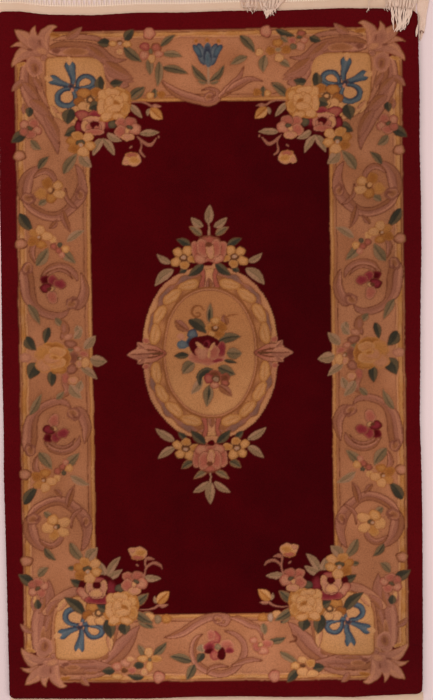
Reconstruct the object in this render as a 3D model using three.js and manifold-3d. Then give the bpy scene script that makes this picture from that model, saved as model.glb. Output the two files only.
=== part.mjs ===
// A small hand-knotted wool rug with a deep carved pile, lying flat.
// The pile slab is one piece. At each end a strip of flat-woven cotton web runs on from under the
// pile, and the warp ends are gathered there into the locks of a fringe. At one end some strands
// are turned back over the web and the pile, and a few curl round beside the corner.
// Millimetres. The origin is the middle of the underside, X runs across the width, Y along the
// length towards the end with the turned-back strands, and Z up.
import * as THREE from "three";
import { mergeVertices } from "three/addons/utils/BufferGeometryUtils.js";
import Module from "manifold-3d";

const wasm = await Module();
wasm.setup();

// Driving sizes
const WIDTH = 918;
const LENGTH = 1507;
const PILE_TOP = 12.8; // height of the pile's surface over the floor
const CARVING = 2; // depth of a groove clipped into the pile
const WEB_WIDTH = 24; // flat-woven strip past the pile, at each end
const WEB_THICKNESS = 2.5;
const GAP = 0.3; // left between pieces that touch
const FRINGE = 65; // length of a straight lock
const LOCK_PITCH = 11;

// How far each edge of the pile strays outwards from the plain rectangle.
// Sides: rows run along the length, "at" is a share of half the length.
const SIDE_EDGES = [
  { at: -0.98, left: 0, right: -4.5 },
  { at: -0.82, left: 0.5, right: -2.5 },
  { at: -0.66, left: 1.5, right: -1.5 },
  { at: -0.5, left: 2.5, right: -1 },
  { at: -0.35, left: 4, right: -1.5 },
  { at: -0.19, left: 2.5, right: -4 },
  { at: -0.03, left: 3.5, right: -1.5 },
  { at: 0.13, left: 2.5, right: 0 },
  { at: 0.29, left: 2, right: 3.5 },
  { at: 0.45, left: 2.5, right: 4 },
  { at: 0.61, left: 1, right: 2 },
  { at: 0.77, left: 1.5, right: 3.5 },
  { at: 0.98, left: 0, right: 1 },
];
// Ends: rows run across the width, "at" is a share of half the width.
const END_EDGES = [
  { at: -0.98, top: 5, bottom: -3 },
  { at: -0.87, top: 4, bottom: -2.5 },
  { at: -0.76, top: 0, bottom: -1.5 },
  { at: -0.54, top: -3, bottom: -0.5 },
  { at: -0.33, top: -0.5, bottom: 0.5 },
  { at: -0.11, top: -1.5, bottom: -2 },
  { at: 0.11, top: 1.5, bottom: -2 },
  { at: 0.33, top: 0.5, bottom: 1 },
  { at: 0.54, top: 1.5, bottom: 1 },
  { at: 0.65, top: 1.5, bottom: 3 },
  { at: 0.76, top: -0.5, bottom: 0.5 },
  { at: 0.98, top: -1.5, bottom: -2.5 },
];

// Value of one column of a table at a share along it, straight between the rows.
function along(table, column, at) {
  if (at <= table[0].at) return table[0][column];
  for (let i = 1; i < table.length; i++) {
    const before = table[i - 1];
    const after = table[i];
    if (at <= after.at) {
      const share = (at - before.at) / (after.at - before.at);
      return THREE.MathUtils.lerp(before[column], after[column], share);
    }
  }
  return table[table.length - 1][column];
}

// The pile overhangs the foundation a little all round, like the tufts at a real edge.
const OVERHANG = 2;
const HALF_WIDTH = WIDTH / 2 - OVERHANG;
const HALF_LENGTH = LENGTH / 2 - OVERHANG;
const rightEdge = (y) => HALF_WIDTH + along(SIDE_EDGES, "right", y / HALF_LENGTH);
const leftEdge = (y) => -HALF_WIDTH - along(SIDE_EDGES, "left", y / HALF_LENGTH);
const topEdge = (x) => HALF_LENGTH + along(END_EDGES, "top", x / HALF_WIDTH);
const bottomEdge = (x) => -HALF_LENGTH - along(END_EDGES, "bottom", x / HALF_WIDTH);

// The pile slab: closed loops of equally many points, from the underside out over the edge and in
// to the middle of the top. A loop is walked anticlockwise from the lower right corner: up the
// right side, along the top, down the left side and back along the bottom.
const END_STEPS = 14;
const SIDE_STEPS = 22;
const CORNER_SHARE = 0.009; // how far from the corner the first point of a side lies
const CORNER_PULL = 0.3; // how much of that the rounded corner's own point is drawn in

// The walk's stops: the side, the share along it, and whether the stop is the corner itself.
function walk() {
  const stops = [];
  for (let side = 0; side < 4; side++) {
    const steps = side % 2 === 0 ? SIDE_STEPS : END_STEPS;
    stops.push({ side, share: CORNER_SHARE * CORNER_PULL, corner: true });
    for (let i = 0; i < steps; i++) {
      const share = CORNER_SHARE + ((1 - 2 * CORNER_SHARE) * i) / (steps - 1);
      stops.push({ side, share, corner: false });
    }
  }
  return stops;
}
const STOPS = walk();

// The rug's own outline, drawn in by an inset, or let out by a negative one.
function outlinePoint(stop, inset) {
  const side = stop.side;
  const pull = stop.corner ? CORNER_PULL * CORNER_SHARE * LENGTH : 0;
  const share = stop.corner ? 0 : stop.share;
  const run = (2 * share - 1) * (side < 2 ? 1 : -1);
  if (side % 2 === 0) {
    const y = run * (HALF_LENGTH - inset - pull);
    return side === 0 ? [rightEdge(y) - inset - pull, y] : [leftEdge(y) + inset + pull, y];
  }
  const x = -run * (HALF_WIDTH - inset - pull);
  return side === 1 ? [x, topEdge(x) - inset - pull] : [x, bottomEdge(x) + inset + pull];
}

// A plain rectangle, given by its four edges.
function boxPoint(stop, box, spread) {
  const share = stop.corner ? 0 : stop.share;
  const ways = [
    [1, 2 * share - 1],
    [1 - 2 * share, 1],
    [-1, 1 - 2 * share],
    [2 * share - 1, -1],
  ];
  const [u, v] = ways[stop.side];
  const middleY = (box.top + box.bottom) / 2;
  const halfY = (box.top - box.bottom) / 2 + spread;
  return [u * (box.side + spread), middleY + v * halfY];
}

// A squarish oval: the corners of the walk lie on its diagonals.
function ovalPoint(stop, oval, spread) {
  const turn = (stop.side + stop.share - 0.5) * (Math.PI / 2);
  const power = 2 / oval.squareness;
  const across = Math.sign(Math.cos(turn)) * Math.abs(Math.cos(turn)) ** power;
  const up = Math.sign(Math.sin(turn)) * Math.abs(Math.sin(turn)) ** power;
  return [oval.x + (oval.halfX + spread) * across, oval.y + (oval.halfY + spread) * up];
}

// The carved lines: the border's outer frame line, the border's inner edge and the medallion.
const FRAME_OUTER = { side: 422, top: 715, bottom: -715 };
const FRAME_LINE = 13; // width of the raised line along the border's outer edge
const FRAME_INNER = { side: 265, top: 553, bottom: -565 };
const MEDALLION = { x: -4, y: 9, halfX: 147, halfY: 188, squareness: 2.25 };
const MEDALLION_HEART = { x: -4, y: 9, halfX: 101, halfY: 140, squareness: 2.1 };
const GROOVE = 4; // half the width of a clipped groove

const loop = (place, z) => STOPS.map((stop) => new THREE.Vector3(...place(stop), z));
const groove = (shape, outline, spread) => [
  loop((stop) => shape(stop, outline, spread + GROOVE), PILE_TOP),
  loop((stop) => shape(stop, outline, spread), PILE_TOP - CARVING),
  loop((stop) => shape(stop, outline, spread - GROOVE), PILE_TOP),
];

// Closes a stack of loops into one skin, with flat caps over the first and the last.
function skin(loops) {
  const count = loops[0].length;
  const points = loops.flat();
  const faces = [];
  for (let row = 0; row + 1 < loops.length; row++) {
    for (let i = 0; i < count; i++) {
      const a = row * count + i;
      const b = row * count + ((i + 1) % count);
      faces.push(a, b, b + count, a, b + count, a + count);
    }
  }
  const flat = (ring) => ring.map((p) => new THREE.Vector2(p.x, p.y));
  const last = (loops.length - 1) * count;
  for (const [a, b, c] of THREE.ShapeUtils.triangulateShape(flat(loops[0]), [])) {
    faces.push(a, c, b);
  }
  for (const [a, b, c] of THREE.ShapeUtils.triangulateShape(flat(loops[loops.length - 1]), [])) {
    faces.push(last + a, last + b, last + c);
  }
  return geometryOf(points, faces);
}

function geometryOf(points, faces) {
  const geometry = new THREE.BufferGeometry().setFromPoints(points);
  geometry.setIndex(faces);
  return geometry;
}

// Height and inset of the pile's edge, from the foundation up over the shorn shoulder.
const EDGE_PROFILE = [
  { z: 0, inset: 0 },
  { z: WEB_THICKNESS + 0.5, inset: 0 },
  { z: 7, inset: -OVERHANG },
  { z: 10.6, inset: -0.4 * OVERHANG },
  { z: PILE_TOP - 0.7, inset: 3 },
  { z: PILE_TOP, inset: 8 },
];

function pileGeometry() {
  const edge = EDGE_PROFILE.map((row) => loop((stop) => outlinePoint(stop, row.inset), row.z));
  return skin([
    ...edge,
    ...groove(boxPoint, FRAME_OUTER, 0),
    ...groove(boxPoint, FRAME_OUTER, -FRAME_LINE),
    ...groove(boxPoint, FRAME_INNER, 0),
    ...groove(ovalPoint, MEDALLION, 0),
    ...groove(ovalPoint, MEDALLION_HEART, 0),
  ]);
}

// A web: a flat strip along the end of the pile, as wavy as that end is.
const WEB_SIDE_INSET = 0.5;
function webGeometry(side, edge, outward) {
  const half = HALF_WIDTH - WEB_SIDE_INSET;
  const stops = STOPS.filter((stop) => stop.side === side && !stop.corner);
  const between = stops.map((stop) => outlinePoint(stop, 0)[0]).sort((a, b) => a - b);
  const stations = [-half, ...between, half];
  const inner = stations.map((x) => new THREE.Vector2(x, edge(x) + outward * GAP));
  const outer = stations.map((x) => new THREE.Vector2(x, edge(x) + outward * WEB_WIDTH));
  const shape = new THREE.Shape([...inner, ...outer.reverse()]);
  return new THREE.ExtrudeGeometry(shape, { depth: WEB_THICKNESS, bevelEnabled: false });
}

// A strand: a four-sided section carried along a row of stations. Each station holds its centre,
// the way across the strand and the way up from its underside.
function strandGeometry(stations) {
  const points = [];
  const faces = [];
  for (const { centre, across, up, width, height } of stations) {
    for (const [u, v] of [[-1, -1], [1, -1], [1, 1], [-1, 1]]) {
      const corner = centre.clone();
      corner.addScaledVector(across, (u * width) / 2);
      corner.addScaledVector(up, (v * height) / 2);
      points.push(corner);
    }
  }
  for (let i = 0; i + 1 < stations.length; i++) {
    for (let k = 0; k < 4; k++) {
      const a = 4 * i + k;
      const b = 4 * i + ((k + 1) % 4);
      faces.push(a, b + 4, b, a, a + 4, b + 4);
    }
  }
  const last = 4 * (stations.length - 1);
  faces.push(0, 1, 2, 0, 2, 3);
  faces.push(last, last + 2, last + 1, last, last + 3, last + 2);
  return geometryOf(points, faces);
}

const UP = new THREE.Vector3(0, 0, 1);
// The way across a strand that lies on the floor, from its neighbours in the row of points.
function level(points, width, height) {
  return points.map((centre, i) => {
    const before = points[Math.max(i - 1, 0)];
    const after = points[Math.min(i + 1, points.length - 1)];
    const across = after.clone().sub(before).cross(UP).normalize();
    return { centre, across, up: UP, width: width(i), height: height(i) };
  });
}

// A straight lock lies on the floor and sways a little, much as its neighbours do.
const LOCK_WIDTH = 4.6;
const LOCK_HEIGHT = 3;
const LOCK_ROOT = 4; // how deep a lock's root reaches into the web
const sway = (i) => 3 * Math.sin(0.45 * i) + 1.4 * Math.sin(2.3 * i);
const lockLength = (i) => FRINGE + 3 * Math.sin(1.7 * i) - 2.5 * Math.sin(0.31 * i);

function straightLock(i, x, edge, outward) {
  const root = edge(x) + outward * (WEB_WIDTH - LOCK_ROOT);
  const points = [0, 0.5, 1].map((share) => {
    const height = LOCK_HEIGHT * (1 - 0.3 * share);
    const y = root + outward * share * (lockLength(i) + LOCK_ROOT);
    return new THREE.Vector3(x + sway(i + 9 * outward) * share ** 1.5, y, height / 2);
  });
  const width = (k) => LOCK_WIDTH * [0.8, 1, 0.5][k];
  return strandGeometry(level(points, width, (k) => 2 * points[k].z));
}

// A turned-back strand runs out from the web along the floor, doubles back over itself, crosses
// the web, clears the pile's edge and comes to rest on the pile. "out" is the distance outwards
// from the pile's edge, z the height of the strand's middle.
const STRAND = 2.2;
const RETURN_BEND = 2.3;
const BEND_OUT = 8; // how far past the web a strand runs before it doubles back
const ON_WEB = WEB_THICKNESS + 0.8 + STRAND / 2;
const ON_PILE = PILE_TOP + 0.4 + STRAND / 2;
const EDGE_CLEARANCE = 2;

function turnedProfile(reach) {
  const bend = WEB_WIDTH + BEND_OUT;
  const rows = [
    { out: WEB_WIDTH - LOCK_ROOT, z: STRAND / 2 },
    { out: bend, z: STRAND / 2 },
    { out: bend + 0.7 * RETURN_BEND, z: STRAND / 2 + 0.3 * RETURN_BEND },
    { out: bend + RETURN_BEND, z: STRAND / 2 + RETURN_BEND },
    { out: bend + 0.7 * RETURN_BEND, z: STRAND / 2 + 1.7 * RETURN_BEND },
    { out: bend, z: STRAND / 2 + 2 * RETURN_BEND },
    { out: 0.7 * WEB_WIDTH, z: ON_WEB },
  ];
  if (reach <= 0) {
    rows.push({ out: -reach, z: ON_WEB });
    return rows;
  }
  const clear = EDGE_CLEARANCE + STRAND / 2;
  rows.push(
    { out: OVERHANG + clear + 4, z: ON_WEB + 0.6 },
    { out: OVERHANG + clear, z: 8 },
    { out: OVERHANG + clear - 0.8, z: 12 },
    { out: OVERHANG, z: PILE_TOP + clear },
    { out: -4, z: PILE_TOP + clear + 0.4 },
    { out: -10, z: PILE_TOP + clear },
  );
  if (reach > 20) rows.push({ out: -20, z: ON_PILE });
  if (reach > 12) rows.push({ out: -reach, z: ON_PILE });
  return rows;
}

// "longest" is the reach of the longest strand beside it, so that neighbours never cross.
function turnedStrand(rootX, tipX, reach, longest) {
  const rows = turnedProfile(reach);
  const bend = WEB_WIDTH + BEND_OUT;
  const run = bend + longest;
  const points = rows.map((row, i) => {
    const share = i < 6 ? 0 : (bend - row.out) / run;
    const ease = share * share * (3 - 2 * share);
    const x = THREE.MathUtils.lerp(rootX, tipX, ease);
    return new THREE.Vector3(x, topEdge(x) + row.out, row.z);
  });
  const stations = points.map((centre, i) => {
    const before = points[Math.max(i - 1, 0)];
    const after = points[Math.min(i + 1, points.length - 1)];
    const across = new THREE.Vector3(1, 0, 0);
    const forward = after.clone().sub(before);
    forward.x = 0;
    const up = forward.normalize().cross(across).negate();
    return { centre, across, up, width: STRAND, height: STRAND };
  });
  return strandGeometry(stations);
}

// A corner strand leaves the web near its right end, curls round on the floor and lies along the
// side of the pile. The strands nest in one another round a common centre.
const CORNER_X = HALF_WIDTH + 2.5;
const CORNER_STRANDS = 4;
const CORNER_PITCH = 3.7;
const CORNER_ARC_STEPS = 6;
function cornerStrand(i) {
  const radius = CORNER_PITCH * (i + 1.2);
  const startY = topEdge(CORNER_X) + WEB_WIDTH + 2;
  const tail = 96 - 7 * Math.abs(i - 1.4);
  const points = [new THREE.Vector3(CORNER_X - radius, startY - LOCK_ROOT - 2, STRAND / 2)];
  for (let k = 0; k <= CORNER_ARC_STEPS; k++) {
    const turn = (Math.PI * k) / CORNER_ARC_STEPS;
    const x = CORNER_X - radius * Math.cos(turn);
    points.push(new THREE.Vector3(x, startY + radius * Math.sin(turn), STRAND / 2));
  }
  for (const share of [0.35, 0.7, 1]) {
    const x = CORNER_X + radius + 1.5 * Math.sin(3 * share);
    points.push(new THREE.Vector3(x, startY - share * tail, STRAND / 2));
  }
  return strandGeometry(level(points, () => STRAND + 0.4, () => STRAND));
}

// The turned-back strands at the top end: where the first and the last leave the web, where their
// tips lie, and how far the middle and the outer ones reach over the pile. A reach below nothing
// ends on the web.
const TURNED_BACK = [
  { from: 77, to: 165, strands: 9, tipFrom: 92, tipTo: 168, middle: 16, outer: -8 },
  { from: 351, to: 351, strands: 1, tipFrom: 346, tipTo: 346, middle: 11, outer: 11 },
  { from: 397, to: 441, strands: 11, tipFrom: 405, tipTo: 433, middle: 49, outer: 24 },
];
const STRAIGHT_BREAKS = [
  { from: 72, to: 170 },
  { from: 347, to: 356 },
  { from: 392, to: WIDTH },
];

function turnedStrands() {
  const made = [];
  for (const row of TURNED_BACK) {
    for (let i = 0; i < row.strands; i++) {
      const share = row.strands > 1 ? i / (row.strands - 1) : 0.5;
      const bow = Math.sin(Math.PI * share) ** 0.8;
      const reach = THREE.MathUtils.lerp(row.outer, row.middle, bow);
      const rootX = THREE.MathUtils.lerp(row.from, row.to, share);
      const tipX = THREE.MathUtils.lerp(row.tipFrom, row.tipTo, share);
      made.push(turnedStrand(rootX, tipX, reach, row.middle));
    }
  }
  return made;
}

function straightLocks(edge, outward, breaks) {
  const made = [];
  const most = Math.floor((HALF_WIDTH - LOCK_PITCH / 2) / LOCK_PITCH);
  for (let i = -most; i <= most; i++) {
    const x = i * LOCK_PITCH;
    if (breaks.some((gap) => x > gap.from && x < gap.to)) continue;
    made.push(straightLock(i, x, edge, outward));
  }
  return made;
}

// Joins pieces of a fringe and its web into one solid.
function solidOf(geometry) {
  const bare = geometry.clone();
  bare.deleteAttribute("normal");
  bare.deleteAttribute("uv");
  const merged = mergeVertices(bare, 1e-4);
  const vertProperties = merged.getAttribute("position").array;
  const triVerts = new Uint32Array(merged.getIndex().array);
  return new wasm.Manifold(new wasm.Mesh({ numProp: 3, vertProperties, triVerts }));
}

function joined(geometries) {
  const whole = geometries.map(solidOf).reduce((sum, piece) => sum.add(piece));
  const mesh = whole.getMesh();
  const geometry = new THREE.BufferGeometry();
  geometry.setAttribute("position", new THREE.BufferAttribute(mesh.vertProperties, 3));
  geometry.setIndex(new THREE.BufferAttribute(mesh.triVerts, 1));
  return geometry;
}

function topFringe() {
  const corner = Array.from({ length: CORNER_STRANDS }, (_, i) => cornerStrand(i));
  const straight = straightLocks(topEdge, 1, STRAIGHT_BREAKS);
  return joined([webGeometry(1, topEdge, 1), ...straight, ...turnedStrands(), ...corner]);
}

function bottomFringe() {
  return joined([webGeometry(3, bottomEdge, -1), ...straightLocks(bottomEdge, -1, [])]);
}

// The rug
const wool = new THREE.MeshStandardMaterial({ color: 0x5a0a12, roughness: 0.95, metalness: 0 });
const cotton = new THREE.MeshStandardMaterial({ color: 0xdcb89c, roughness: 0.9, metalness: 0 });

function named(name, geometry, material) {
  const mesh = new THREE.Mesh(geometry, material);
  mesh.name = name;
  return mesh;
}

const group = new THREE.Group();
group.add(named("pile_body", pileGeometry(), wool));
group.add(named("fringe_top", topFringe(), cotton));
group.add(named("fringe_bottom", bottomFringe(), cotton));

export default group;
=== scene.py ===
import bmesh
import bpy
import numpy as np
from mathutils import Euler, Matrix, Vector


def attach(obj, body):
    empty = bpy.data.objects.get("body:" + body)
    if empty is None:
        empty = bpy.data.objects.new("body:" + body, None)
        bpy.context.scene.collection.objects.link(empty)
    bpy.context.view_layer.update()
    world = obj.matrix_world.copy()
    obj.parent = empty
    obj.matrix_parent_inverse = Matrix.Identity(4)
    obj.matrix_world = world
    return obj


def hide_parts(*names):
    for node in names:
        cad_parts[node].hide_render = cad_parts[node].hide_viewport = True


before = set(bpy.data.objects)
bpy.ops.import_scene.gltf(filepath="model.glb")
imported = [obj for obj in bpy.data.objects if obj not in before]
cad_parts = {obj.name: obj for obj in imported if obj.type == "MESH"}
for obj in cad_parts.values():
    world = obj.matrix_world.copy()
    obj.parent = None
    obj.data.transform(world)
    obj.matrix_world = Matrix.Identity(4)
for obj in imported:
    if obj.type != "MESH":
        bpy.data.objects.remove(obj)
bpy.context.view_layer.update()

# The foundation
# Cotton warps and wefts, beaten together row by row as the wool is knotted on to them. The weaver's
# tension varies, so the edges run a few millimetres off the straight. The back is a flat weave.
MM = 0.001
HALF_WIDTH = 457.0
HALF_LENGTH = 751.5
CORNER_RADIUS = 13.0
BACKING = 2.9
EDGE_PULL = 10    # the higher, the nearer to the edge lies what its straying moves

# How far the edges stray outwards in mm, at shares of the half length or width
SIDE_EDGES = np.array([      # share, left, right
    (-0.98, 0.0, -4.5), (-0.82, 0.5, -2.5), (-0.66, 1.5, -1.5), (-0.50, 2.5, -1.0),
    (-0.35, 4.0, -1.5), (-0.19, 2.5, -4.0), (-0.03, 3.5, -1.5), (0.13, 2.5, 0.0),
    (0.29, 2.0, 3.5), (0.45, 2.5, 4.0), (0.61, 1.0, 2.0), (0.77, 1.5, 3.5), (0.98, 0.0, 1.0),
])
END_EDGES = np.array([       # share, top, bottom
    (-0.98, 9.0, -3.0), (-0.90, 8.5, -2.6), (-0.80, 2.5, -2.0), (-0.76, 0.5, -1.5),
    (-0.54, -2.2, -0.5), (-0.33, 2.0, 0.5), (-0.11, 0.7, -2.0), (0.11, 3.0, -2.0),
    (0.33, 1.5, 1.0), (0.54, 3.7, 1.0), (0.65, 5.0, 3.0), (0.76, 3.5, 0.5),
    (0.88, 2.0, -1.2), (0.98, -3.5, -2.5),
])


def strays(edges, share, column):
    """How far an edge strays at a share of its half length"""
    return np.interp(share, edges[:, 0], edges[:, column])


def edges_at(u, v, out=0.0):
    """How far across and along the rug's edge lies beside a point that is given as u and v"""
    across = HALF_WIDTH + out + np.where(u > 0, strays(SIDE_EDGES, v, 2), strays(SIDE_EDGES, v, 1))
    along = HALF_LENGTH + out + np.where(v > 0, strays(END_EDGES, u, 1), strays(END_EDGES, u, 2))
    return across, along


def past_corner(x, y, edge_x, edge_y):
    """How far a point lies across and along from where its corner's rounding begins"""
    from_x = np.maximum(np.abs(x) - (edge_x - CORNER_RADIUS), 0)
    from_y = np.maximum(np.abs(y) - (edge_y - CORNER_RADIUS), 0)
    return from_x, from_y


def lie(u, v, out=0.0):
    """Where a point of the rug lies in mm; u and v run from -1 to 1, out is added past the edge"""
    edge_x, edge_y = edges_at(u, v, out)
    x = u*HALF_WIDTH + np.sign(u)*np.abs(u)**EDGE_PULL*(edge_x - HALF_WIDTH)
    y = v*HALF_LENGTH + np.sign(v)*np.abs(v)**EDGE_PULL*(edge_y - HALF_LENGTH)
    from_x, from_y = past_corner(x, y, edge_x, edge_y)
    square = np.maximum(from_x, from_y)
    pulled = square/np.maximum(np.hypot(from_x, from_y), 1e-6)
    x = np.where(square > 0, np.sign(x)*(np.abs(x) - from_x + from_x*pulled), x)
    y = np.where(square > 0, np.sign(y)*(np.abs(y) - from_y + from_y*pulled), y)
    return x, y


def place(mesh, x, y, z):
    """Put a mesh's points where the arrays say, in mm"""
    mesh.vertices.foreach_set("co", np.column_stack([x, y, z]).ravel()*MM)
    mesh.update()


def where(mesh):
    """A mesh's points as three arrays"""
    points = np.empty(len(mesh.vertices)*3)
    mesh.vertices.foreach_get("co", points)
    return points.reshape(-1, 3).T.copy()


def slab(name, columns, rows, rings):
    """A closed block from -1 to 1 whose top is a grid; its walls go down in rings to a flat bottom.
    z is 0 on the top, then 1, 2 and so on down the rings"""
    work = bmesh.new()
    bmesh.ops.create_grid(work, x_segments=columns, y_segments=rows, size=1.0)
    rim = [e for e in work.edges if e.is_boundary]
    for e in rim:
        e.smooth = False
    for ring in range(1, rings + 1):
        grown = bmesh.ops.extrude_edge_only(work, edges=rim)["geom"]
        rim = [e for e in grown if isinstance(e, bmesh.types.BMEdge)]
        for p in (p for p in grown if isinstance(p, bmesh.types.BMVert)):
            p.co.z = ring
        rim = [e for e in rim if e.is_boundary]
    bmesh.ops.edgeloop_fill(work, edges=rim)
    bmesh.ops.recalc_face_normals(work, faces=work.faces)
    mesh = bpy.data.meshes.new(name)
    work.to_mesh(mesh)
    work.free()
    mesh.polygons.foreach_set("use_smooth", [len(p.vertices) == 4 for p in mesh.polygons])
    piece = bpy.data.objects.new(name, mesh)
    bpy.context.collection.objects.link(piece)
    return piece


class Wire:
    """A value on its way through a material's nodes, which takes + - * and powers"""

    def __init__(self, recipe, socket):
        self.recipe = recipe
        self.socket = socket

    def joined(self, operation, first, second):
        return self.recipe.add("Math", {0: first, 1: second}, operation=operation)

    def __add__(self, other):
        return self.joined("ADD", self, other)

    def __sub__(self, other):
        return self.joined("SUBTRACT", self, other)

    def __rsub__(self, other):
        return self.joined("SUBTRACT", other, self)

    def __mul__(self, other):
        return self.joined("MULTIPLY", self, other)

    def __pow__(self, other):
        return self.joined("POWER", self, other)

    __radd__ = __add__
    __rmul__ = __mul__


class Recipe:
    """A material, built from its shader backwards"""

    def __init__(self, name, **constants):
        self.material = bpy.data.materials.new(name)
        self.material.use_nodes = True
        self.tree = self.material.node_tree
        self.shader = self.tree.nodes["Principled BSDF"]
        for socket, value in constants.items():
            self.shader.inputs[socket.replace("_", " ")].default_value = value

    def add(self, kind, inputs=None, out=0, **settings):
        """A new node's output, after its inputs are fed and its settings are made"""
        node = self.tree.nodes.new("ShaderNode" + kind)
        for name, value in settings.items():
            setattr(node, name, value)
        for name, value in (inputs or {}).items():
            self.link(node.inputs[name], value)
        return Wire(self, node.outputs[out])

    def link(self, socket, value):
        if isinstance(value, Wire):
            self.tree.links.new(value.socket, socket)
        else:
            socket.default_value = value

    def feed(self, name, value):
        """Feed one of the shader's own inputs"""
        self.link(self.shader.inputs[name], value)

    def mix(self, share, first, second):
        """A colour between two colours"""
        return self.add("Mix", {0: share, 6: first, 7: second}, 2, data_type="RGBA")

    def object_place(self):
        return self.add("TexCoord", out="Object")

    def noise(self, scale, detail):
        """Soft random values from 0 to 1, the finer the higher the scale"""
        return self.add("TexNoise", {"Vector": self.object_place(), "Scale": scale, "Detail": detail})

    def bumps(self, height, depth, strength=1.0):
        """Dents and humps; height 0 to 1, depth in mm"""
        inputs = {"Height": height, "Distance": depth*MM, "Strength": strength}
        self.feed("Normal", self.add("Bump", inputs))


def linear(red, green, blue):
    """A colour as a shader takes it, from its red, green and blue as seen, 0 to 255"""
    seen = np.array([red, green, blue])/255
    return (*np.where(seen > 0.04, ((seen + 0.055)/1.055)**2.4, seen/12.92), 1.0)


foundation = slab("foundation", 60, 100, 1)
x, y, ring = where(foundation.data)
x, y = lie(x, y, -0.5)
place(foundation.data, x, y, np.where(ring == 0, BACKING, 0.0))

back = Recipe("cotton_back", Roughness=0.85)
spot = back.object_place()
threads = []
for turn in (0.0, 1.5708):
    turned = back.add("Mapping", {"Vector": spot, "Rotation": (0, 0, turn)})
    inputs = {"Vector": turned, "Scale": 120.0, "Distortion": 0.4, "Detail": 0.0}
    threads.append(back.add("TexWave", inputs, 1))
weave = threads[0]*threads[1]
wear = back.noise(9.0, 4.0)
pale = back.mix(wear, linear(196, 178, 146), linear(172, 152, 118))
# The back is painted darker between its threads, as painted shade in the hollows of the weave.
back.feed("Base Color", back.mix(weave*0.5, linear(150, 128, 98), pale))
back.feed("Roughness", wear*0.25 + 0.7)
back.bumps(weave*0.7 + wear*0.6, 0.8)
foundation.data.materials.append(back.material)
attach(foundation, "root")

# The drawing
# Before a rug like this is knotted, its flowers and scrolls are drawn full size. The drawing is made
# here on a fine raster in the same way, motif over motif, and each motif is remembered by a number,
# because the pile is later carved along the lines where two motifs meet.
KNOT = 1.25                        # mm between the raster's points
RASTER_X = 461.25
RASTER_Y = 756.25
across_mm = np.arange(-RASTER_X, RASTER_X + 0.1*KNOT, KNOT)
along_mm = np.arange(-RASTER_Y, RASTER_Y + 0.1*KNOT, KNOT)
knot_x, knot_y = np.meshgrid(across_mm, along_mm)
dye = np.zeros(knot_x.shape + (3,))
shape = np.zeros(knot_x.shape, int)


def clouds(size, grid_x, grid_y, seed):
    """Soft random unevenness from -1 to 1, in patches about `size` mm across"""
    dice = np.random.default_rng(seed).uniform(-1, 1, (220, 220))
    u = (grid_x + 2000)/size % 210
    v = (grid_y + 2000)/size % 210
    column = u.astype(int)
    row = v.astype(int)
    u = u - column
    v = v - row
    u = u*u*(3 - 2*u)
    v = v*v*(3 - 2*v)
    low = dice[row, column]*(1 - u) + dice[row, column + 1]*u
    high = dice[row + 1, column]*(1 - u) + dice[row + 1, column + 1]*u
    return low*(1 - v) + high*v


# The weaver's hand wavers by about a millimetre
woven_x = knot_x + 1.3*clouds(38, knot_x, knot_y, 1) + 0.45*clouds(7, knot_x, knot_y, 2)
woven_y = knot_y + 1.3*clouds(44, knot_x, knot_y, 3) + 0.45*clouds(7, knot_x, knot_y, 4)

# Dyed yarns, red, green and blue as seen, 0 to 255
YARN = {
    "crimson": (72, 1, 5),
    "deep crimson": (60, 0, 4),
    "border red": (84, 5, 10),
    "wine": (72, 7, 10),
    "raspberry": (118, 36, 40),
    "rose": (148, 76, 58),
    "blush": (168, 106, 78),
    "ground": (165, 104, 71),
    "sand": (178, 120, 76),
    "butter": (180, 122, 74),
    "gold": (160, 100, 50),
    "ochre": (138, 78, 34),
    "bronze": (128, 72, 38),
    "umber": (92, 52, 30),
    "rust": (100, 50, 30),
    "clay": (133, 77, 47),
    "mauve": (142, 85, 64),
    "dusk": (112, 60, 42),
    "lilac": (160, 118, 96),
    "sage": (128, 94, 66),
    "olive": (108, 82, 56),
    "moss": (86, 67, 46),
    "bottle": (54, 47, 36),
    "steel": (88, 88, 88),
    "navy": (44, 44, 54),
    "teal": (68, 76, 80),
    "ash": (120, 78, 63),
    "dune": (148, 106, 78),
    "straw": (164, 103, 62),
}


def lay(patch, inside, yarn, towards=None, share=0.0):
    """Cover the knots inside with a yarn, or with shades that run towards a second yarn"""
    colour = np.array(YARN[yarn], float)
    if towards:
        share = np.clip(share, 0, 1)[..., None]
        colour = (colour*(1 - share) + np.array(YARN[towards], float)*share)[inside]
    dye[patch][inside] = colour
    shape[patch][inside] = shape.max() + 1


class Copy:
    """One copy of a part of the drawing, mirrored over the rug's middle lines and moved a little"""

    def __init__(self, across=1, along=1, dx=0, dy=0):
        self.across = across
        self.along = along
        self.dx = dx
        self.dy = dy

    def around(self, x, y, reach):
        """The patch of knots around a point, and where its knots lie from that point"""
        middle_x = self.across*x + self.dx
        middle_y = self.along*y + self.dy
        rows = slice(*np.searchsorted(along_mm, (middle_y - reach - 3, middle_y + reach + 3)))
        columns = slice(*np.searchsorted(across_mm, (middle_x - reach - 3, middle_x + reach + 3)))
        patch = (rows, columns)
        from_x = self.across*(woven_x[patch] - middle_x)
        from_y = self.along*(woven_y[patch] - middle_y)
        return patch, from_x, from_y


EDGE = 1.2       # mm of darker yarn round a leaf or a scroll
SEAM = 2.2       # mm by which the seam round a petal makes it larger


def petal(copy, x, y, long, wide, yarn, rim=None, turn=0):
    """An oval that is shaded towards its rim; turn in degrees from the drawing's x"""
    patch, dx, dy = copy.around(x, y, max(long, wide)/2)
    c = np.cos(np.radians(turn))
    s = np.sin(np.radians(turn))
    out = np.hypot((dx*c + dy*s)*2/long, (dy*c - dx*s)*2/wide)
    angle = np.arctan2(dy, dx)
    out *= 1 + 0.05*np.sin(3*angle + x) + 0.04*np.sin(5*angle + y)
    lay(patch, out < 1, yarn, rim, out**3.5)


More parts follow.
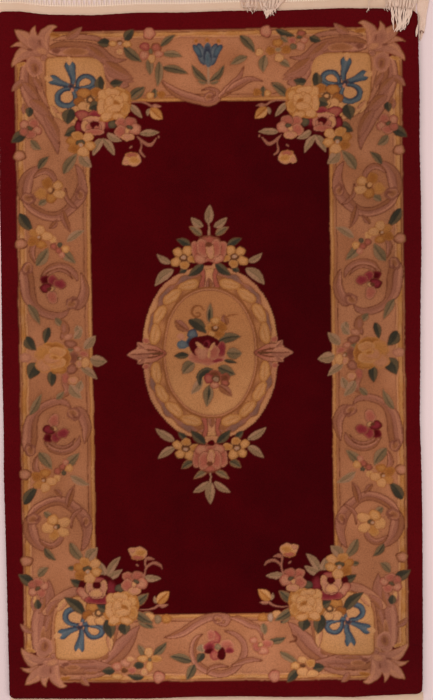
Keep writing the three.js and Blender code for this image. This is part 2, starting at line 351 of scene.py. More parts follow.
def flower(copy, x, y, petals, seam=None):
    """Petals laid over one another round a middle, each over its own seam if the seam has a yarn.
    A petal's row: across, along, length, width, its yarn, its rim's yarn, perhaps its turn"""
    for dx, dy, long, wide, yarn, rim, *turn in petals:
        if seam:
            petal(copy, x + dx, y + dy, long + SEAM, wide + SEAM, seam, None, *turn)
        petal(copy, x + dx, y + dy, long, wide, yarn, rim, *turn)


# A leaf's two halves, its vein and its edge
LEAF = {
    "dark": ("moss", "bottle", "bottle", "umber"),
    "half": ("olive", "moss", "bottle", "clay"),
    "pale": ("sage", "dune", "olive", "dune"),
    "grey": ("sage", "olive", "moss", "clay"),
    "rust": ("rust", "umber", "umber", "umber"),
    "mauve": ("mauve", "clay", "rust", "rust"),
    "lobe": ("mauve", "clay", "mauve", "dusk"),
    "blush": ("blush", "mauve", "dusk", "mauve"),
    "ochre": ("butter", "gold", "ochre", "ochre"),
    "comma": ("dusk", "dusk", "dusk", "dusk"),
    "panel": ("sand", "sand", "sand", "sand"),
    "tongue": ("sand", "ground", "sand", "rust"),
}


def leaf(copy, x, y, tip_x, tip_y, wide, look, bend=0):
    """A pointed leaf from its foot to its tip; bend is how far its middle lies to the left"""
    long = np.hypot(tip_x - x, tip_y - y)
    c = (tip_x - x)/long
    s = (tip_y - y)/long
    patch, dx, dy = copy.around((x + tip_x)/2, (y + tip_y)/2, long/2 + abs(bend) + wide/2)
    on = (dx*c + dy*s)/long + 0.5
    inside = (on > 0) & (on < 1)
    on = np.clip(on, 0, 1)
    off = dy*c - dx*s - bend*4*on*(1 - on)
    half = wide/2*np.sin(np.pi*on**0.8)**0.85
    first, second, vein, edge = LEAF[look]
    lay(patch, inside & (np.abs(off) < half), edge)
    inside = inside & (np.abs(off) < half - EDGE)
    lay(patch, inside, first)
    lay(patch, inside & (off < 0.1*wide), second, first, (on - 0.45)*1.2)
    lay(patch, inside & (np.abs(off) < 0.06*wide) & (on < 0.85), vein)


def leaves(copy, rows):
    """Leaves; a leaf's row: its foot x and y, tip x and y, width, look, perhaps its bend"""
    for row in rows:
        leaf(copy, *row)


def curve(points, step=2.0):
    """Rows of x, y and width, smoothed into a run of points about `step` mm apart"""
    rows = np.array(points, float)
    rows = np.vstack([2*rows[0] - rows[1], rows, 2*rows[-1] - rows[-2]])
    run = []
    for a, b, c, d in zip(rows, rows[1:], rows[2:], rows[3:]):
        t = np.linspace(0, 1, max(3, int(np.hypot(*(c - b)[:2])/step)), endpoint=False)[:, None]
        run.append(0.5*(2*b + (c - a)*t + (2*a - 5*b + 4*c - d)*t**2 + (3*b - a - 3*c + d)*t**3))
    run.append(rows[-2:-1])
    return np.vstack(run)


def band(copy, points, look):
    """A scroll's band: its edge's yarn, then stripes from and to, -1 to 1 across the band, each with
    the yarns at its start and at its end"""
    run = curve(points)
    middle = (run[:, :2].max(0) + run[:, :2].min(0))/2
    reach = np.abs(run[:, :2] - middle).max() + run[:, 2].max()/2
    patch, dx, dy = copy.around(*middle, reach)
    place = run[:, :2] - middle
    tangent = np.gradient(place, axis=0)
    tangent /= np.linalg.norm(tangent, axis=1)[:, None]
    best = np.full(dx.shape, 9.0)
    half = np.ones(dx.shape)
    along = np.zeros(dx.shape)
    for (px, py), (tx, ty), wide, at in zip(place, tangent, run[:, 2], np.linspace(0, 1, len(run))):
        away = np.hypot(dx - px, dy - py)*2/max(wide, 0.5)
        nearer = away < np.abs(best)
        side = np.where((dy - py)*tx - (dx - px)*ty > 0, 1, -1)
        best[nearer] = (away*side)[nearer]
        half[nearer] = max(wide, 0.5)/2
        along[nearer] = at
    edge, stripes = look
    lay(patch, np.abs(best) < 1, edge)
    inner = np.abs(best) < 1 - 1.4*EDGE/half
    for low, high, yarn, end_yarn in stripes:
        lay(patch, inner & (best > low) & (best < high), yarn, end_yarn, along)


# The edges and stripes of the scrolls' bands
SCROLL = ("rust", ((-1, 1, "mauve", None), (0.35, 0.75, "blush", "mauve"),
                   (-1, -0.2, "clay", "mauve"), (-0.3, -0.16, "rust", "mauve")))
TAN = ("rust", ((-1, 1, "ground", "mauve"),))
PALM = ("clay", ((-1, 1, "mauve", "blush"), (0.15, 0.6, "blush", "ground")))
STEM = ("dune", ())
STALK = ("mauve", ())
LINE = ("bronze", ())
RIBBON = ("navy", ((-1, 1, "teal", "steel"), (-1, -0.3, "navy", "teal"), (0.4, 1, "steel", "teal")))
STRAP = ("rust", ((-1, 1, "rose", "rose"), (-0.5, 0.5, "rust", None), (-0.42, 0.42, "blush", "sand")))
FLEURON = ("rust", ((-1, 1, "rose", "blush"), (-0.5, -0.3, "rust", None), (0.3, 0.5, "rust", None),
                    (-0.08, 0.08, "rust", None)))
CUP = ("bottle", ((-1, -0.2, "moss", None),))
HOOK = ("rust", ())

# The ground of the drawing: a plain field, a border framed by thin lines, a plain outer margin
FRAME_X = 424.0      # the frame's and the field's edges, from the rug's middle lines
FRAME_Y = 716.0
FIELD_X = 262.0
FIELD_TOP = 559.0
FIELD_BOTTOM = 567.0
everywhere = (slice(None), slice(None))
to_frame = np.minimum(FRAME_X - np.abs(woven_x), FRAME_Y - np.abs(woven_y))
to_field = np.maximum(np.abs(woven_x) - FIELD_X,
                      np.maximum(woven_y - FIELD_TOP, -FIELD_BOTTOM - woven_y))
frame_width = np.where(np.abs(woven_x) - FRAME_X > np.abs(woven_y) - FRAME_Y, 20.0, 17.0)
patchy = 0.5 + 0.5*clouds(50, knot_x, knot_y, 7)
streaky = 0.5 + 0.5*clouds(18, knot_x, knot_y, 14)
lay(everywhere, to_frame < np.inf, "border red")
# The frame's lines: where each begins, as a share of the frame's width, and its two yarns
for begins, yarn, towards in ((0.0, "rust", "umber"), (0.07, "clay", "ground"),
                              (0.22, "ochre", "rust"), (0.33, "gold", "sand"),
                              (0.7, "ochre", "gold"), (0.77, "sand", "ground"),
                              (1.0, "clay", "mauve")):
    lay(everywhere, to_frame > begins*frame_width, yarn, towards, streaky)
lay(everywhere, to_frame > 1.06*frame_width, "clay", "ground", 0.4 + 0.6*patchy)
# The field's lines: how far out of the field each ends, and its two yarns
for ends, yarn, towards in ((16.0, "rust", "rust"), (14.5, "clay", "ground"), (9.0, "bronze", "gold"),
                            (7.0, "gold", "sand"), (2.0, "bronze", "clay")):
    lay(everywhere, to_field < ends, yarn, towards, patchy)
# Painted light: the field's crimson is painted lighter towards the left, where more light falls, and in
# soft patches that are partly the dye's own unevenness and partly painted sheen of the pile.
painted_light_and_abrash = 0.5 - woven_x/500 + 0.25*clouds(120, knot_x, knot_y, 12) + 0.2*clouds(30, knot_x, knot_y, 13)
lay(everywhere, to_field < 0, "deep crimson", "crimson", painted_light_and_abrash)

CORNERS = (Copy(-1, 1), Copy(1, 1), Copy(-1, -1, 0, 3), Copy(1, -1, -7, 6))

# The upper corners' acanthus scrolls: bands as rows of x, y and width, lobes as leaves without a
# look, and the shaded ovals on them
TOP_BANDS = (
    (((336, 698, 5), (310, 703, 12), (275, 704, 13), (245, 700, 12), (226, 694, 5)), TAN),
    (((226, 652, 8), (214, 636, 34), (203, 618, 40), (192, 602, 30), (176, 596, 8)), SCROLL),
    (((340, 677, 22), (322, 678, 34), (290, 678, 35), (262, 675, 34), (240, 667, 34),
      (222, 655, 26), (202, 650, 13), (180, 652, 4)), SCROLL),
    (((384, 650, 18), (395, 640, 28), (398, 615, 34), (393, 588, 36), (384, 562, 32),
      (370, 543, 34), (355, 523, 34), (345, 500, 28), (335, 476, 20), (331, 450, 5)), SCROLL),
    (((374, 624, 6), (370, 600, 14), (364, 577, 13), (351, 557, 11), (334, 545, 9),
      (314, 534, 4)), TAN),
)
TOP_LOBES = (
    (310, 702, 274, 726, 18, 3), (190, 616, 161, 604, 12, 2), (402, 610, 431, 585, 17, 2),
    (264, 684, 214, 650, 26, 6), (226, 648, 163, 611, 32, 6), (300, 664, 250, 662, 11, -2),
    (408, 606, 372, 560, 20, -5), (384, 616, 366, 584, 14, -3), (392, 566, 348, 524, 26, -6),
    (362, 536, 328, 470, 24, -6), (405, 560, 396, 528, 14, 3),
)
TOP_OVALS = ((290, 672, 56, 18, "clay", "ground"), (331, 674, 20, 13, "dusk", "mauve"),
             (385, 641, 44, 28, "mauve", "ground", 75), (377, 634, 25, 14, "dusk", "mauve", 70))

# The lower corners' scrolls
LOW_BANDS = (
    (((352, 704, 6), (325, 706, 13), (292, 706, 14), (258, 700, 14), (232, 690, 5)), TAN),
    (((262, 690, 12), (240, 672, 28), (216, 650, 40), (196, 628, 34), (180, 606, 16),
      (168, 594, 4)), SCROLL),
    (((350, 676, 26), (334, 681, 38), (305, 682, 36), (275, 682, 32), (250, 684, 22),
      (226, 682, 6)), SCROLL),
    (((384, 650, 30), (387, 636, 38), (386, 610, 46), (384, 580, 48), (376, 552, 42),
      (368, 528, 32), (366, 508, 18), (367, 490, 4)), SCROLL),
    (((376, 562, 16), (354, 540, 22), (330, 524, 22), (304, 514, 20), (280, 508, 6)), TAN),
)
LOW_LOBES = (
    (300, 704, 281, 727, 15, -3), (404, 606, 431, 585, 14, 3), (258, 668, 240, 642, 22, -3),
    (234, 652, 215, 590, 22, 5), (300, 664, 262, 656, 9, 2), (296, 694, 252, 690, 15, -2),
    (376, 604, 366, 560, 16, -3), (372, 570, 344, 534, 18, 4), (392, 566, 378, 512, 16, -4),
    (330, 672, 268, 674, 10, 2), (398, 560, 404, 524, 12, 3),
)
LOW_OVALS = ((318, 684, 34, 12, "clay", "ground"), (334, 677, 18, 10, "dusk", "mauve", 10),
             (383, 620, 62, 12, "clay", "ground", 84), (378, 640, 17, 10, "dusk", "mauve", 70))

# The acanthus leaves at the outer corner, from foot to tip, and their light and dark spots
ACANTHUS = (
    ((366, 668, 14), (386, 674, 28), (404, 669, 28), (418, 657, 17), (426, 648, 9), (429, 641, 2)),
    ((374, 678, 10), (392, 684, 15), (408, 689, 13), (421, 688, 8), (431, 684, 2)),
    ((364, 676, 16), (382, 690, 26), (398, 702, 28), (411, 713, 17), (421, 721, 3)),
    ((366, 684, 14), (376, 697, 20), (381, 708, 18), (381, 718, 11), (377, 728, 2)),
    ((354, 678, 14), (358, 694, 25), (357, 707, 27), (350, 717, 20), (341, 725, 12), (331, 726, 3)),
)
ACANTHUS_SPOTS = (
    (374, 690, 46, 34, "mauve", "blush", 45), (362, 674, 30, 18, "ground", "mauve", 20),
    (367, 693, 15, 5, "dusk", "mauve", 84), (388, 678, 17, 6, "dusk", "mauve", 6),
    (379, 639, 44, 34, "mauve", "blush", 78), (379, 636, 27, 18, "clay", "mauve", 78),
    (378, 635, 16, 7, "dusk", "clay", 78), (334, 709, 24, 9, "ochre", "gold", 10),
    (408, 646, 22, 8, "gold", "sand", -20), (359, 659, 17, 15, "rust", "rust"),
    (359, 659, 14.5, 12.5, "mauve", "blush"),
)

# The bow's two tails, its two loops and its end under the flowers
BOW = (((300, 596, 9), (312, 599, 12), (326, 604, 16), (339, 610, 23)),
       ((297, 598, 9), (296, 612, 13), (299, 625, 17), (302, 640, 24)),
       ((286, 594, 9), (285, 606, 10), (277, 616, 11), (265, 618, 11), (254, 612, 12),
        (251, 602, 13), (260, 595, 10), (280, 592, 8)),
       ((302, 590, 8), (318, 588, 10), (330, 578, 13), (328, 563, 14), (313, 555, 13),
        (298, 557, 13), (290, 568, 11), (294, 584, 8)),
       ((296, 592, 9), (280, 587, 12), (262, 586, 12), (248, 593, 12)))
# The panel's own edge ends in small tongues
TOP_TONGUES = ((346, 556, 318, 526, 18, 3), (334, 538, 286, 512, 20, -3))
LOW_TONGUES = ((348, 560, 318, 528, 18, 3), (238, 610, 233, 654, 16, 2))
DESIGNS = ((CORNERS[:2], TOP_BANDS, TOP_LOBES, TOP_OVALS, TOP_TONGUES, 4.0, 590),
           (CORNERS[2:], LOW_BANDS, LOW_LOBES, LOW_OVALS, LOW_TONGUES, 3.0, 597))
for copies, bands, lobes, ovals, tongues, square, middle in DESIGNS:
    for corner in copies:
        for points, look in bands:
            band(corner, points, look)
        for *row, bend in lobes:
            leaf(corner, *row, "lobe", bend)
        flower(corner, 0, 0, ovals)
        patch, dx, dy = corner.around(390, 690, 60)
        lay(patch, (dx > -44) & (dy > -40) & ((dx > 6) | (dy > 15)), "border red")
        petal(corner, 366, 680, 40, 34, "mauve", "blush", 40)
        for points in ACANTHUS:
            band(corner, points, PALM)
        flower(corner, 0, 0, ACANTHUS_SPOTS)

        # The light panel behind the bow, and its outline
        patch, dx, dy = corner.around(290, middle, 76)
        squareness = np.where(dy > 0, np.where(dx > 0, 12.0, square), 2.3)
        panel = (np.abs(dx/65)**squareness + np.abs(dy/69)**squareness)**(1/squareness)
        lay(patch, (panel < 1.035) & (panel > 1) & (dx > -40), "bronze")
        lay(patch, panel < 1, "sand", "gold", 0.35*panel**3)
        for *row, bend in tongues:
            leaf(corner, *row, "tongue", bend)

        # The bow of blue ribbon
        for loop in BOW:
            band(corner, loop, RIBBON)
        leaf(corner, 359, 616, 340, 610, 13, "panel")
        leaf(corner, 304, 661, 303, 641, 13, "panel")
        petal(corner, 299, 594, 16, 13, "navy", "dusk", 60)
        petal(corner, 297, 588, 9, 6, "blush", turn=60)

# The sides of the border: two rings of scroll with a flower in each, and sprays between them
SIDES = (Copy(-1, 1), Copy(1, 1), Copy(-1, -1), Copy(1, -1, -4))
RING_BANDS = (      # the bands of both rings, outer to inner
    ((402, 344, 14), (407, 362, 24), (405, 382, 27), (398, 400, 22), (384, 415, 13), (366, 425, 4)),
    ((386, 398, 4), (376, 407, 10), (361, 412, 12), (348, 406, 12), (340, 395, 11), (338, 384, 4)),
    ((408, 352, 12), (397, 336, 17), (380, 323, 18), (360, 314, 18), (338, 312, 18),
     (318, 320, 19), (302, 334, 21), (290, 348, 23), (283, 362, 24), (280, 378, 20),
     (281, 393, 16), (285, 408, 13), (293, 423, 4)),
    ((316, 372, 4), (314, 352, 8), (303, 338, 8), (290, 330, 4)),
    ((386, 212, 4), (391, 226, 10), (392, 240, 12), (383, 255, 5)),
    ((372, 182, 4), (356, 198, 11), (334, 204, 12), (313, 199, 12), (299, 187, 11), (294, 172, 4)),
    ((368, 176, 3), (352, 189, 7), (333, 194, 7), (315, 188, 6), (304, 176, 3)),
    ((403, 202, 20), (406, 186, 27), (404, 168, 29), (402, 150, 27), (398, 134, 24), (388, 118, 16),
     (374, 105, 15), (356, 97, 15), (338, 94, 14), (322, 99, 10), (314, 108, 4)),
    ((284, 187, 4), (280, 168, 14), (278, 150, 19), (283, 132, 21), (294, 120, 22), (306, 120, 14)),
    ((340, 85, 3), (327, 79, 11), (320, 66, 13), (327, 53, 10), (331, 44, 3)),
)
SIDE_LEAVES = (
    (400, 498, 435, 474, 24, "dark"), (391, 480, 366, 459, 20, "grey", 3),
    (392, 552, 394, 529, 19, "dark"), (377, 416, 350, 445, 18, "half", -3),
    (320, 405, 288, 449, 24, "grey", -3), (284, 448, 258, 418, 24, "pale", 3),
    (376, 337, 354, 350, 17, "grey", -1), (418, 320, 388, 280, 24, "dark", 3),
    (315, 257, 274, 280, 17, "pale", -3), (384, 205, 356, 245, 26, "grey", 3),
    (330, 243, 294, 208, 24, "grey", 2), (402, 122, 376, 74, 19, "grey", -2),
    (344, 90, 326, 70, 16, "grey"), (296, 74, 288, 48, 19, "pale"),
    (322, 327, 306, 277, 17, "mauve", 3), (352, 286, 334, 308, 12, "mauve", 2),
)
SMALL_PINK = (
    (12, 8, 22, 19, "blush", "rose", 20), (-8, 12, 22, 19, "rose", "blush"),
    (-14, -4, 20, 18, "blush", "rose"), (0, -12, 24, 18, "rose", "blush"),
    (14, -7, 18, 16, "rose", "mauve"), (1, 1, 13, 8, "moss", "umber", 30),
)
BERRIES = (
    (345, 262, 15, 15, "butter", "sand"), (344, 247, 16, 16, "rose", "rust"),
    (333, 238, 15, 15, "rose", "rust"), (318, 241, 17, 17, "butter", "gold"),
    (326, 228, 14, 14, "blush", "rose"), (330, 251, 11, 11, "moss", "bottle"),
)
PIED_FLOWER = (
    (12, 9, 21, 18, "gold", "straw", 40), (15, -8, 22, 18, "ochre", "gold", -20),
    (-3, 16, 20, 20, "sand", "butter"), (-17, 3, 24, 17, "sand", "butter"),
    (-4, -15, 22, 16, "gold", "ochre"), (0, 0, 11, 10, "umber", "umber"), (1, 1, 7, 6, "lilac", "sand"),
)
OCHRE_FLOWER = (
    (8, 16, 26, 22, "ochre", "gold", 80), (22, -6, 28, 26, "gold", "straw"),
    (0, -16, 24, 22, "gold", "ochre"), (-18, -8, 28, 18, "sand", "butter", 10),
    (-15, 10, 24, 20, "sand", "gold", -20), (0, 0, 15, 13, "umber", "umber"),
    (2, 2, 10, 10, "sand", "butter"),
)
BUTTER_FLOWER = (
    (6, 17, 28, 22, "gold", "butter", 60), (20, 2, 26, 26, "butter", "sand"),
    (8, -15, 26, 22, "butter", "gold", 20), (-16, -10, 28, 20, "sand", "butter", 10),
    (-14, 12, 26, 20, "butter", "sand", -20), (0, 0, 15, 11, "moss", "umber", 20),
    (3, 1, 7, 6, "lilac", "sand"),
)
WINE_PANSY = (
    (14, 17, 24, 20, "wine", "raspberry", 30), (-1, 17, 22, 22, "raspberry", "rose", 60),
    (-17, 9, 28, 19, "raspberry", "rose", 15), (14, 0, 26, 20, "raspberry", "wine", -20),
    (2, -19, 30, 22, "rose", "blush", 75), (2, -2, 15, 9, "sand", "sage", -20),
    (7, -2, 9, 5, "umber", "wine", -20),
)


def volute(copy, x, y, radius, turn):
    """A scroll's rolled-up end, and the dark line that curls into it from the side at `turn`"""
    c = radius*np.cos(np.radians(turn))
    s = radius*np.sin(np.radians(turn))
    petal(copy, x, y, 2.1*radius, 1.8*radius, "mauve", "dusk", turn)
    petal(copy, x - 0.15*c, y - 0.15*s, 1.5*radius, 1.1*radius, "clay", "blush", turn)
    leaf(copy, x + 0.9*c, y + 0.9*s, x - 0.3*c, y - 0.3*s, 0.4*radius, "comma", 0.35*radius)


for side in SIDES:
    for points in RING_BANDS:
        band(side, np.array(points)*(1, 1, 1.2), SCROLL)
    volute(side, 398, 352, 15, 200)
    volute(side, 284, 361, 13, 80)
    volute(side, 306, 122, 15, 150)
    volute(side, 403, 199, 14, 300)
    petal(side, 400, 532, 8, 20, "butter", "sand")
    for y in (446, 253):
        petal(side, 415, y, 28, 24, "rust")
        petal(side, 416, y, 25, 21, "blush", "clay")
    leaves(side, SIDE_LEAVES)
    flower(side, 391, 504, SMALL_PINK, "rust")
    flower(side, 0, 0, BERRIES)
    flower(side, 375, 266, PIED_FLOWER, "ochre")
    flower(side, 348, 369, OCHRE_FLOWER if side.along > 0 else BUTTER_FLOWER, "bronze")
    flower(side, 348, 155, WINE_PANSY, "rust")

# The spray at the middle of each side
MIDDLES = (Copy(-1, 1), Copy(1, 1))
MIDDLE_LEAVES = (
    (408, 51, 385, 20, 26, "dark", 5), (357, 70, 366, 34, 19, "dark", 2),
    (378, -9, 404, -45, 32, "dark", 5), (352, -24, 354, -62, 21, "dark"),
    (269, -1, 231, -8, 24, "pale", 2), (302, 44, 287, 68, 17, "pale", 2),
    (281, 22, 255, 50, 21, "pale"), (287, -19, 253, -46, 17, "pale", -2),
    (315, -57, 288, -90, 22, "pale", 2), (324, 16, 301, 23, 13, "grey"),
)
MIDDLE_PETALS = (
    (325, 68, 14, 26, "mauve", "clay"), (316, 49, 21, 13, "blush", "mauve", -20),
    (311, 33, 29, 17, "mauve", "rust", 10), (297, 21, 17, 13, "blush", "rose"),
    (305, 3, 21, 27, "dusk", "mauve"), (283, 11, 21, 12, "rose", "blush", 15),
    (308, -23, 27, 21, "mauve", "rust", -30), (323, -42, 16, 25, "rose", "mauve", 10),
    (306, -47, 21, 16, "blush", "sand"), (291, -12, 16, 16, "blush", "sand"),
    (278, -9, 17, 21, "sand", "butter"), (292, 1, 10, 9, "moss", "umber"),
    (290, 0, 6, 6, "lilac", "sand"),
)
YELLOW_ROSE = (
    (0, 24, 46, 22, "ochre", "gold"), (-27, 0, 19, 40, "ochre", "gold"),
    (-8, -23, 42, 20, "gold", "ochre", 10), (20, 10, 36, 38, "gold", "straw"),
    (20, -15, 36, 32, "ground", "straw"), (-8, 13, 36, 24, "straw", "sand"),
    (-8, -10, 38, 24, "straw", "sand"), (4, -1, 36, 24, "ground", "straw"),
    (-3, 3, 22, 9, "gold", "sand", 15), (-4, 2, 11, 4, "ochre", "ochre", 20),
)
for middle in MIDDLES:
    leaves(middle, MIDDLE_LEAVES)
    petal(middle, 410, 3, 26, 20, "blush", "mauve")
    flower(middle, 0, 0, MIDDLE_PETALS, "clay")
    flower(middle, 349, 2, YELLOW_ROSE, "gold")

# The ends of the border. The upper one has a blue tulip at its middle, the lower one a pansy in a
# ring of scroll; here x is the rug's own, and y is measured from its middle line outwards
UPPER = Copy(1, 1)
LOWER = Copy(1, -1)
UPPER_BANDS = (
    ((-104, 608, 3), (-88, 592, 15), (-66, 577, 21), (-40, 567, 22), (-18, 561, 20), (2, 557, 19),
     (20, 565, 16), (19, 580, 10), (2, 586, 7), (-14, 582, 4)),
    ((26, 570, 12), (44, 584, 20), (60, 600, 18), (72, 617, 10), (79, 634, 3)),
    ((42, 580, 10), (62, 593, 21), (84, 604, 17), (101, 605, 10), (120, 600, 3)),
)
UPPER_LEAVES = (
    (-174, 566, -137, 594, 22, "half", -3), (-104, 680, -68, 706, 17, "half", 2),
    (-101, 664, -54, 656, 18, "grey", 3), (-101, 634, -42, 618, 19, "half", 3),
    (-184, 680, -144, 646, 24, "half", -2), (-128, 656, -127, 617, 20, "grey"),
    (-107, 648, -113, 592, 21, "grey", 3), (-180, 694, -160, 718, 22, "dark", 2),
    (-214, 690, -242, 690, 21, "dark"), (-118, 590, -118, 566, 15, "half"),
    (70, 702, 103, 661, 21, "half", 3), (124, 658, 121, 618, 23, "grey", -2),
    (156, 646, 180, 630, 18, "grey", 2), (86, 656, 48, 638, 19, "grey", -2),
    (148, 713, 192, 698, 15, "dark", -2), (138, 597, 178, 564, 20, "half", 3),
    (160, 698, 176, 684, 15, "grey"), (222, 694, 248, 686, 17, "dark"),
    (120, 590, 120, 566, 15, "half"),
)
UPPER_PETALS = (
    (-137, 680, 21, 18, "rose", "raspberry"), (-113, 678, 22, 20, "rose", "rust"),
    (-140, 661, 21, 19, "blush", "rose", 20), (-108, 664, 20, 15, "blush", "rose"),
    (-123, 654, 15, 18, "sand", "butter"), (-125, 670, 9, 12, "olive", "moss"),
    (-193, 670, 18, 14, "sand", "blush"), (-208, 688, 18, 12, "butter", "gold"),
    (-176, 686, 20, 13, "butter", "gold"), (-192, 690, 13, 10, "umber", "umber"),
    (-192, 688, 10, 7, "lilac", "blush"), (-104, 576, 17, 15, "ochre", "gold"),
    (-128, 574, 16, 15, "butter", "gold"), (137, 667, 21, 17, "ochre", "gold"),
    (153, 684, 24, 16, "gold", "ochre"), (171, 669, 22, 17, "ochre", "gold"),
    (112, 664, 17, 15, "sand", "butter"), (156, 652, 19, 17, "sand", "butter"),
    (154, 669, 15, 11, "sage", "sand"), (205, 703, 20, 11, "rose", "rust"),
    (202, 676, 22, 19, "blush", "mauve"), (211, 689, 17, 13, "blush", "rose"),
    (185, 688, 17, 15, "rose", "blush"), (201, 695, 13, 7, "moss", "bottle"),
    (187, 675, 14, 13, "olive", "moss"), (106, 577, 18, 15, "ochre", "gold"),
    (130, 574, 14, 14, "butter", "gold"),
)
LOWER_BANDS = (
    ((-114, 618, 3), (-92, 614, 14), (-68, 604, 20), (-44, 588, 20), (-20, 577, 19), (4, 573, 18),
     (26, 577, 16), (22, 592, 10), (6, 590, 6)),
    ((34, 576, 8), (54, 580, 16), (76, 592, 17), (94, 600, 12), (104, 628, 3)),
    ((-30, 612, 3), (-44, 622, 13), (-52, 645, 16), (-46, 672, 18), (-28, 690, 18), (0, 700, 18),
     (28, 696, 18), (50, 680, 17), (62, 656, 16), (60, 632, 14), (44, 614, 12), (22, 606, 5)),
    ((34, 682, 6), (54, 676, 13), (76, 670, 13), (102, 671, 3)),
    ((-22, 700, 4), (-14, 688, 10), (6, 682, 10), (26, 684, 4)),
)
LOWER_LEAVES = (
    (-174, 568, -134, 598, 24, "half", 3), (-54, 672, -106, 660, 23, "half", 3),
    (-48, 678, -68, 714, 22, "half"), (-140, 657, -108, 627, 20, "half", 2),
    (-158, 662, -173, 632, 19, "grey", 2), (-160, 706, -198, 699, 15, "dark", -2),
    (-224, 690, -254, 690, 20, "dark"), (-166, 568, -136, 564, 13, "grey"),
    (104, 588, 108, 616, 19, "grey"), (113, 630, 156, 620, 17, "half", 3),
    (140, 652, 184, 680, 18, "grey", 2), (180, 693, 155, 720, 20, "dark"),
    (144, 590, 170, 566, 22, "half", -2), (-34, 634, -30, 652, 22, "pale"),
    (-26, 654, -42, 676, 18, "dark", 2), (212, 690, 240, 688, 22, "dark"),
)
LOWER_PETALS = (
    (-163, 665, 24, 15, "butter", "gold"), (-134, 665, 24, 15, "gold", "butter"),
    (-149, 682, 15, 24, "butter", "gold"), (-150, 650, 17, 22, "sand", "butter"),
    (-148, 667, 8, 8, "olive", "moss"), (-172, 679, 22, 17, "bottle", "moss"),
    (-160, 694, 16, 17, "sand", "blush"), (-219, 680, 21, 18, "blush", "rose"),
    (-200, 672, 22, 17, "blush", "mauve"), (-187, 689, 20, 15, "rose", "blush"),
    (-190, 664, 18, 12, "sand", "blush"), (-203, 689, 13, 11, "umber", "umber"),
    (-220, 703, 26, 13, "butter", "gold"), (-146, 572, 21, 17, "butter", "sand"),
    (-127, 578, 15, 20, "sage", "olive"), (-108, 577, 21, 20, "gold", "ochre"),
    (112, 635, 24, 18, "rose", "blush"), (103, 650, 26, 17, "blush", "rose"),
    (89, 641, 18, 22, "rose", "mauve"), (83, 627, 17, 14, "blush", "rose"),
    (98, 637, 10, 9, "sand", "olive"), (173, 684, 21, 16, "butter", "gold"),
    (190, 671, 20, 14, "sand", "butter"), (208, 679, 20, 18, "gold", "butter"),
    (190, 697, 23, 19, "sand", "butter"), (211, 702, 27, 15, "butter", "sand"),
    (190, 684, 13, 8, "umber", "umber"), (104, 576, 24, 17, "gold", "ochre"),
    (136, 570, 22, 16, "sand", "butter"), (121, 576, 13, 19, "lilac", "sage"),
)
LOWER_PANSY = (
    (-6, 22, 26, 26, "rose", "raspberry", 40), (-15, 28, 18, 24, "rose", "blush"),
    (21, 5, 30, 24, "rose", "blush", -20), (25, -6, 22, 14, "raspberry", "rose"),
    (-18, 2, 26, 24, "raspberry", "rose", 20), (-18, -7, 24, 14, "wine", "raspberry"),
    (-7, -17, 22, 24, "rose", "raspberry", 70), (7, -14, 18, 28, "wine", "wine", -10),
    (0, 2, 14, 13, "sage", "moss"),
)
for end, bands, greens, petals in ((UPPER, UPPER_BANDS, UPPER_LEAVES, UPPER_PETALS),
                                   (LOWER, LOWER_BANDS, LOWER_LEAVES, LOWER_PETALS)):
    for points in bands:
        band(end, points, SCROLL)
    leaves(end, greens)
    flower(end, 0, 0, petals, "bronze")
    for bud in (-127, 127):
        petal(end, bud, 708 - 3*(end is LOWER), 27, 27, "rust")
        petal(end, bud, 709 - 3*(end is LOWER), 25, 25, "blush", "rose")
band(LOWER, ((163, 631, 3), (174, 629, 5), (177, 621, 6), (168, 616, 3)), HOOK)
volute(UPPER, 2, 569, 12, 30)
volute(LOWER, 4, 580, 12, 200)
flower(Copy(1, 1, 4, -642), 0, 0, LOWER_PANSY)

# The tulip: leaves at its foot, a stem, blue petals behind and before, and gold buds between them
TULIP = ((-13, 660, 50, 20, "steel", "navy", 104), (13, 660, 50, 20, "steel", "navy", 76),
         (-22, 668, 34, 13, "teal", "navy", 122), (22, 668, 34, 13, "teal", "navy", 58),
         (0, 658, 54, 22, "navy", "steel", 90), (0, 650, 30, 11, "teal", "steel", 90))
leaf(UPPER, -2, 600, -36, 640, 18, "half", 5)
leaf(UPPER, 2, 600, 36, 640, 18, "half", -5)
leaf(UPPER, -2, 598, -26, 604, 10, "grey", 2)
leaf(UPPER, 2, 598, 26, 604, 10, "grey", -2)
band(UPPER, ((0, 598, 6), (0, 616, 5), (0, 636, 5)), STEM)
flower(UPPER, 0, 0, TULIP)
for x, y in ((-25, 690), (0, 692), (25, 690)):
    petal(UPPER, x, y, 9, 9, "ochre", "gold")

# The corner bouquets, from the leaves behind to the flowers in front
BOUQUET_LEAVES = (
    (236, 618, 232, 580, 22, "dark", 4), (215, 600, 186, 604, 20, "dark", 3),
    (172, 566, 137, 594, 20, "half", -3), (300, 548, 309, 513, 30, "dark", 2),
    (280, 500, 316, 488, 26, "dark", 3), (172, 554, 146, 523, 14, "pale", -1),
    (224, 493, 191, 475, 15, "pale", 3), (232, 484, 255, 444, 18, "pale", 3),
    (233, 482, 207, 443, 16, "pale", -3), (152, 490, 108, 491, 15, "pale", -1),
)
LOW_BOUQUET_LEAVES = (
    (241, 578, 232, 622, 28, "dark", 2), (204, 586, 201, 615, 28, "dark"),
    (180, 562, 136, 590, 22, "half", -3), (289, 568, 334, 529, 24, "dark", -4),
    (288, 502, 319, 490, 20, "dark", 2), (180, 548, 147, 522, 22, "half", -1),
    (243, 486, 258, 449, 17, "pale", -2), (237, 482, 207, 442, 18, "pale", 3),
    (240, 488, 203, 470, 16, "pale", -2), (158, 488, 118, 490, 15, "pale", -1),
    (308, 466, 326, 465, 14, "half"),
)
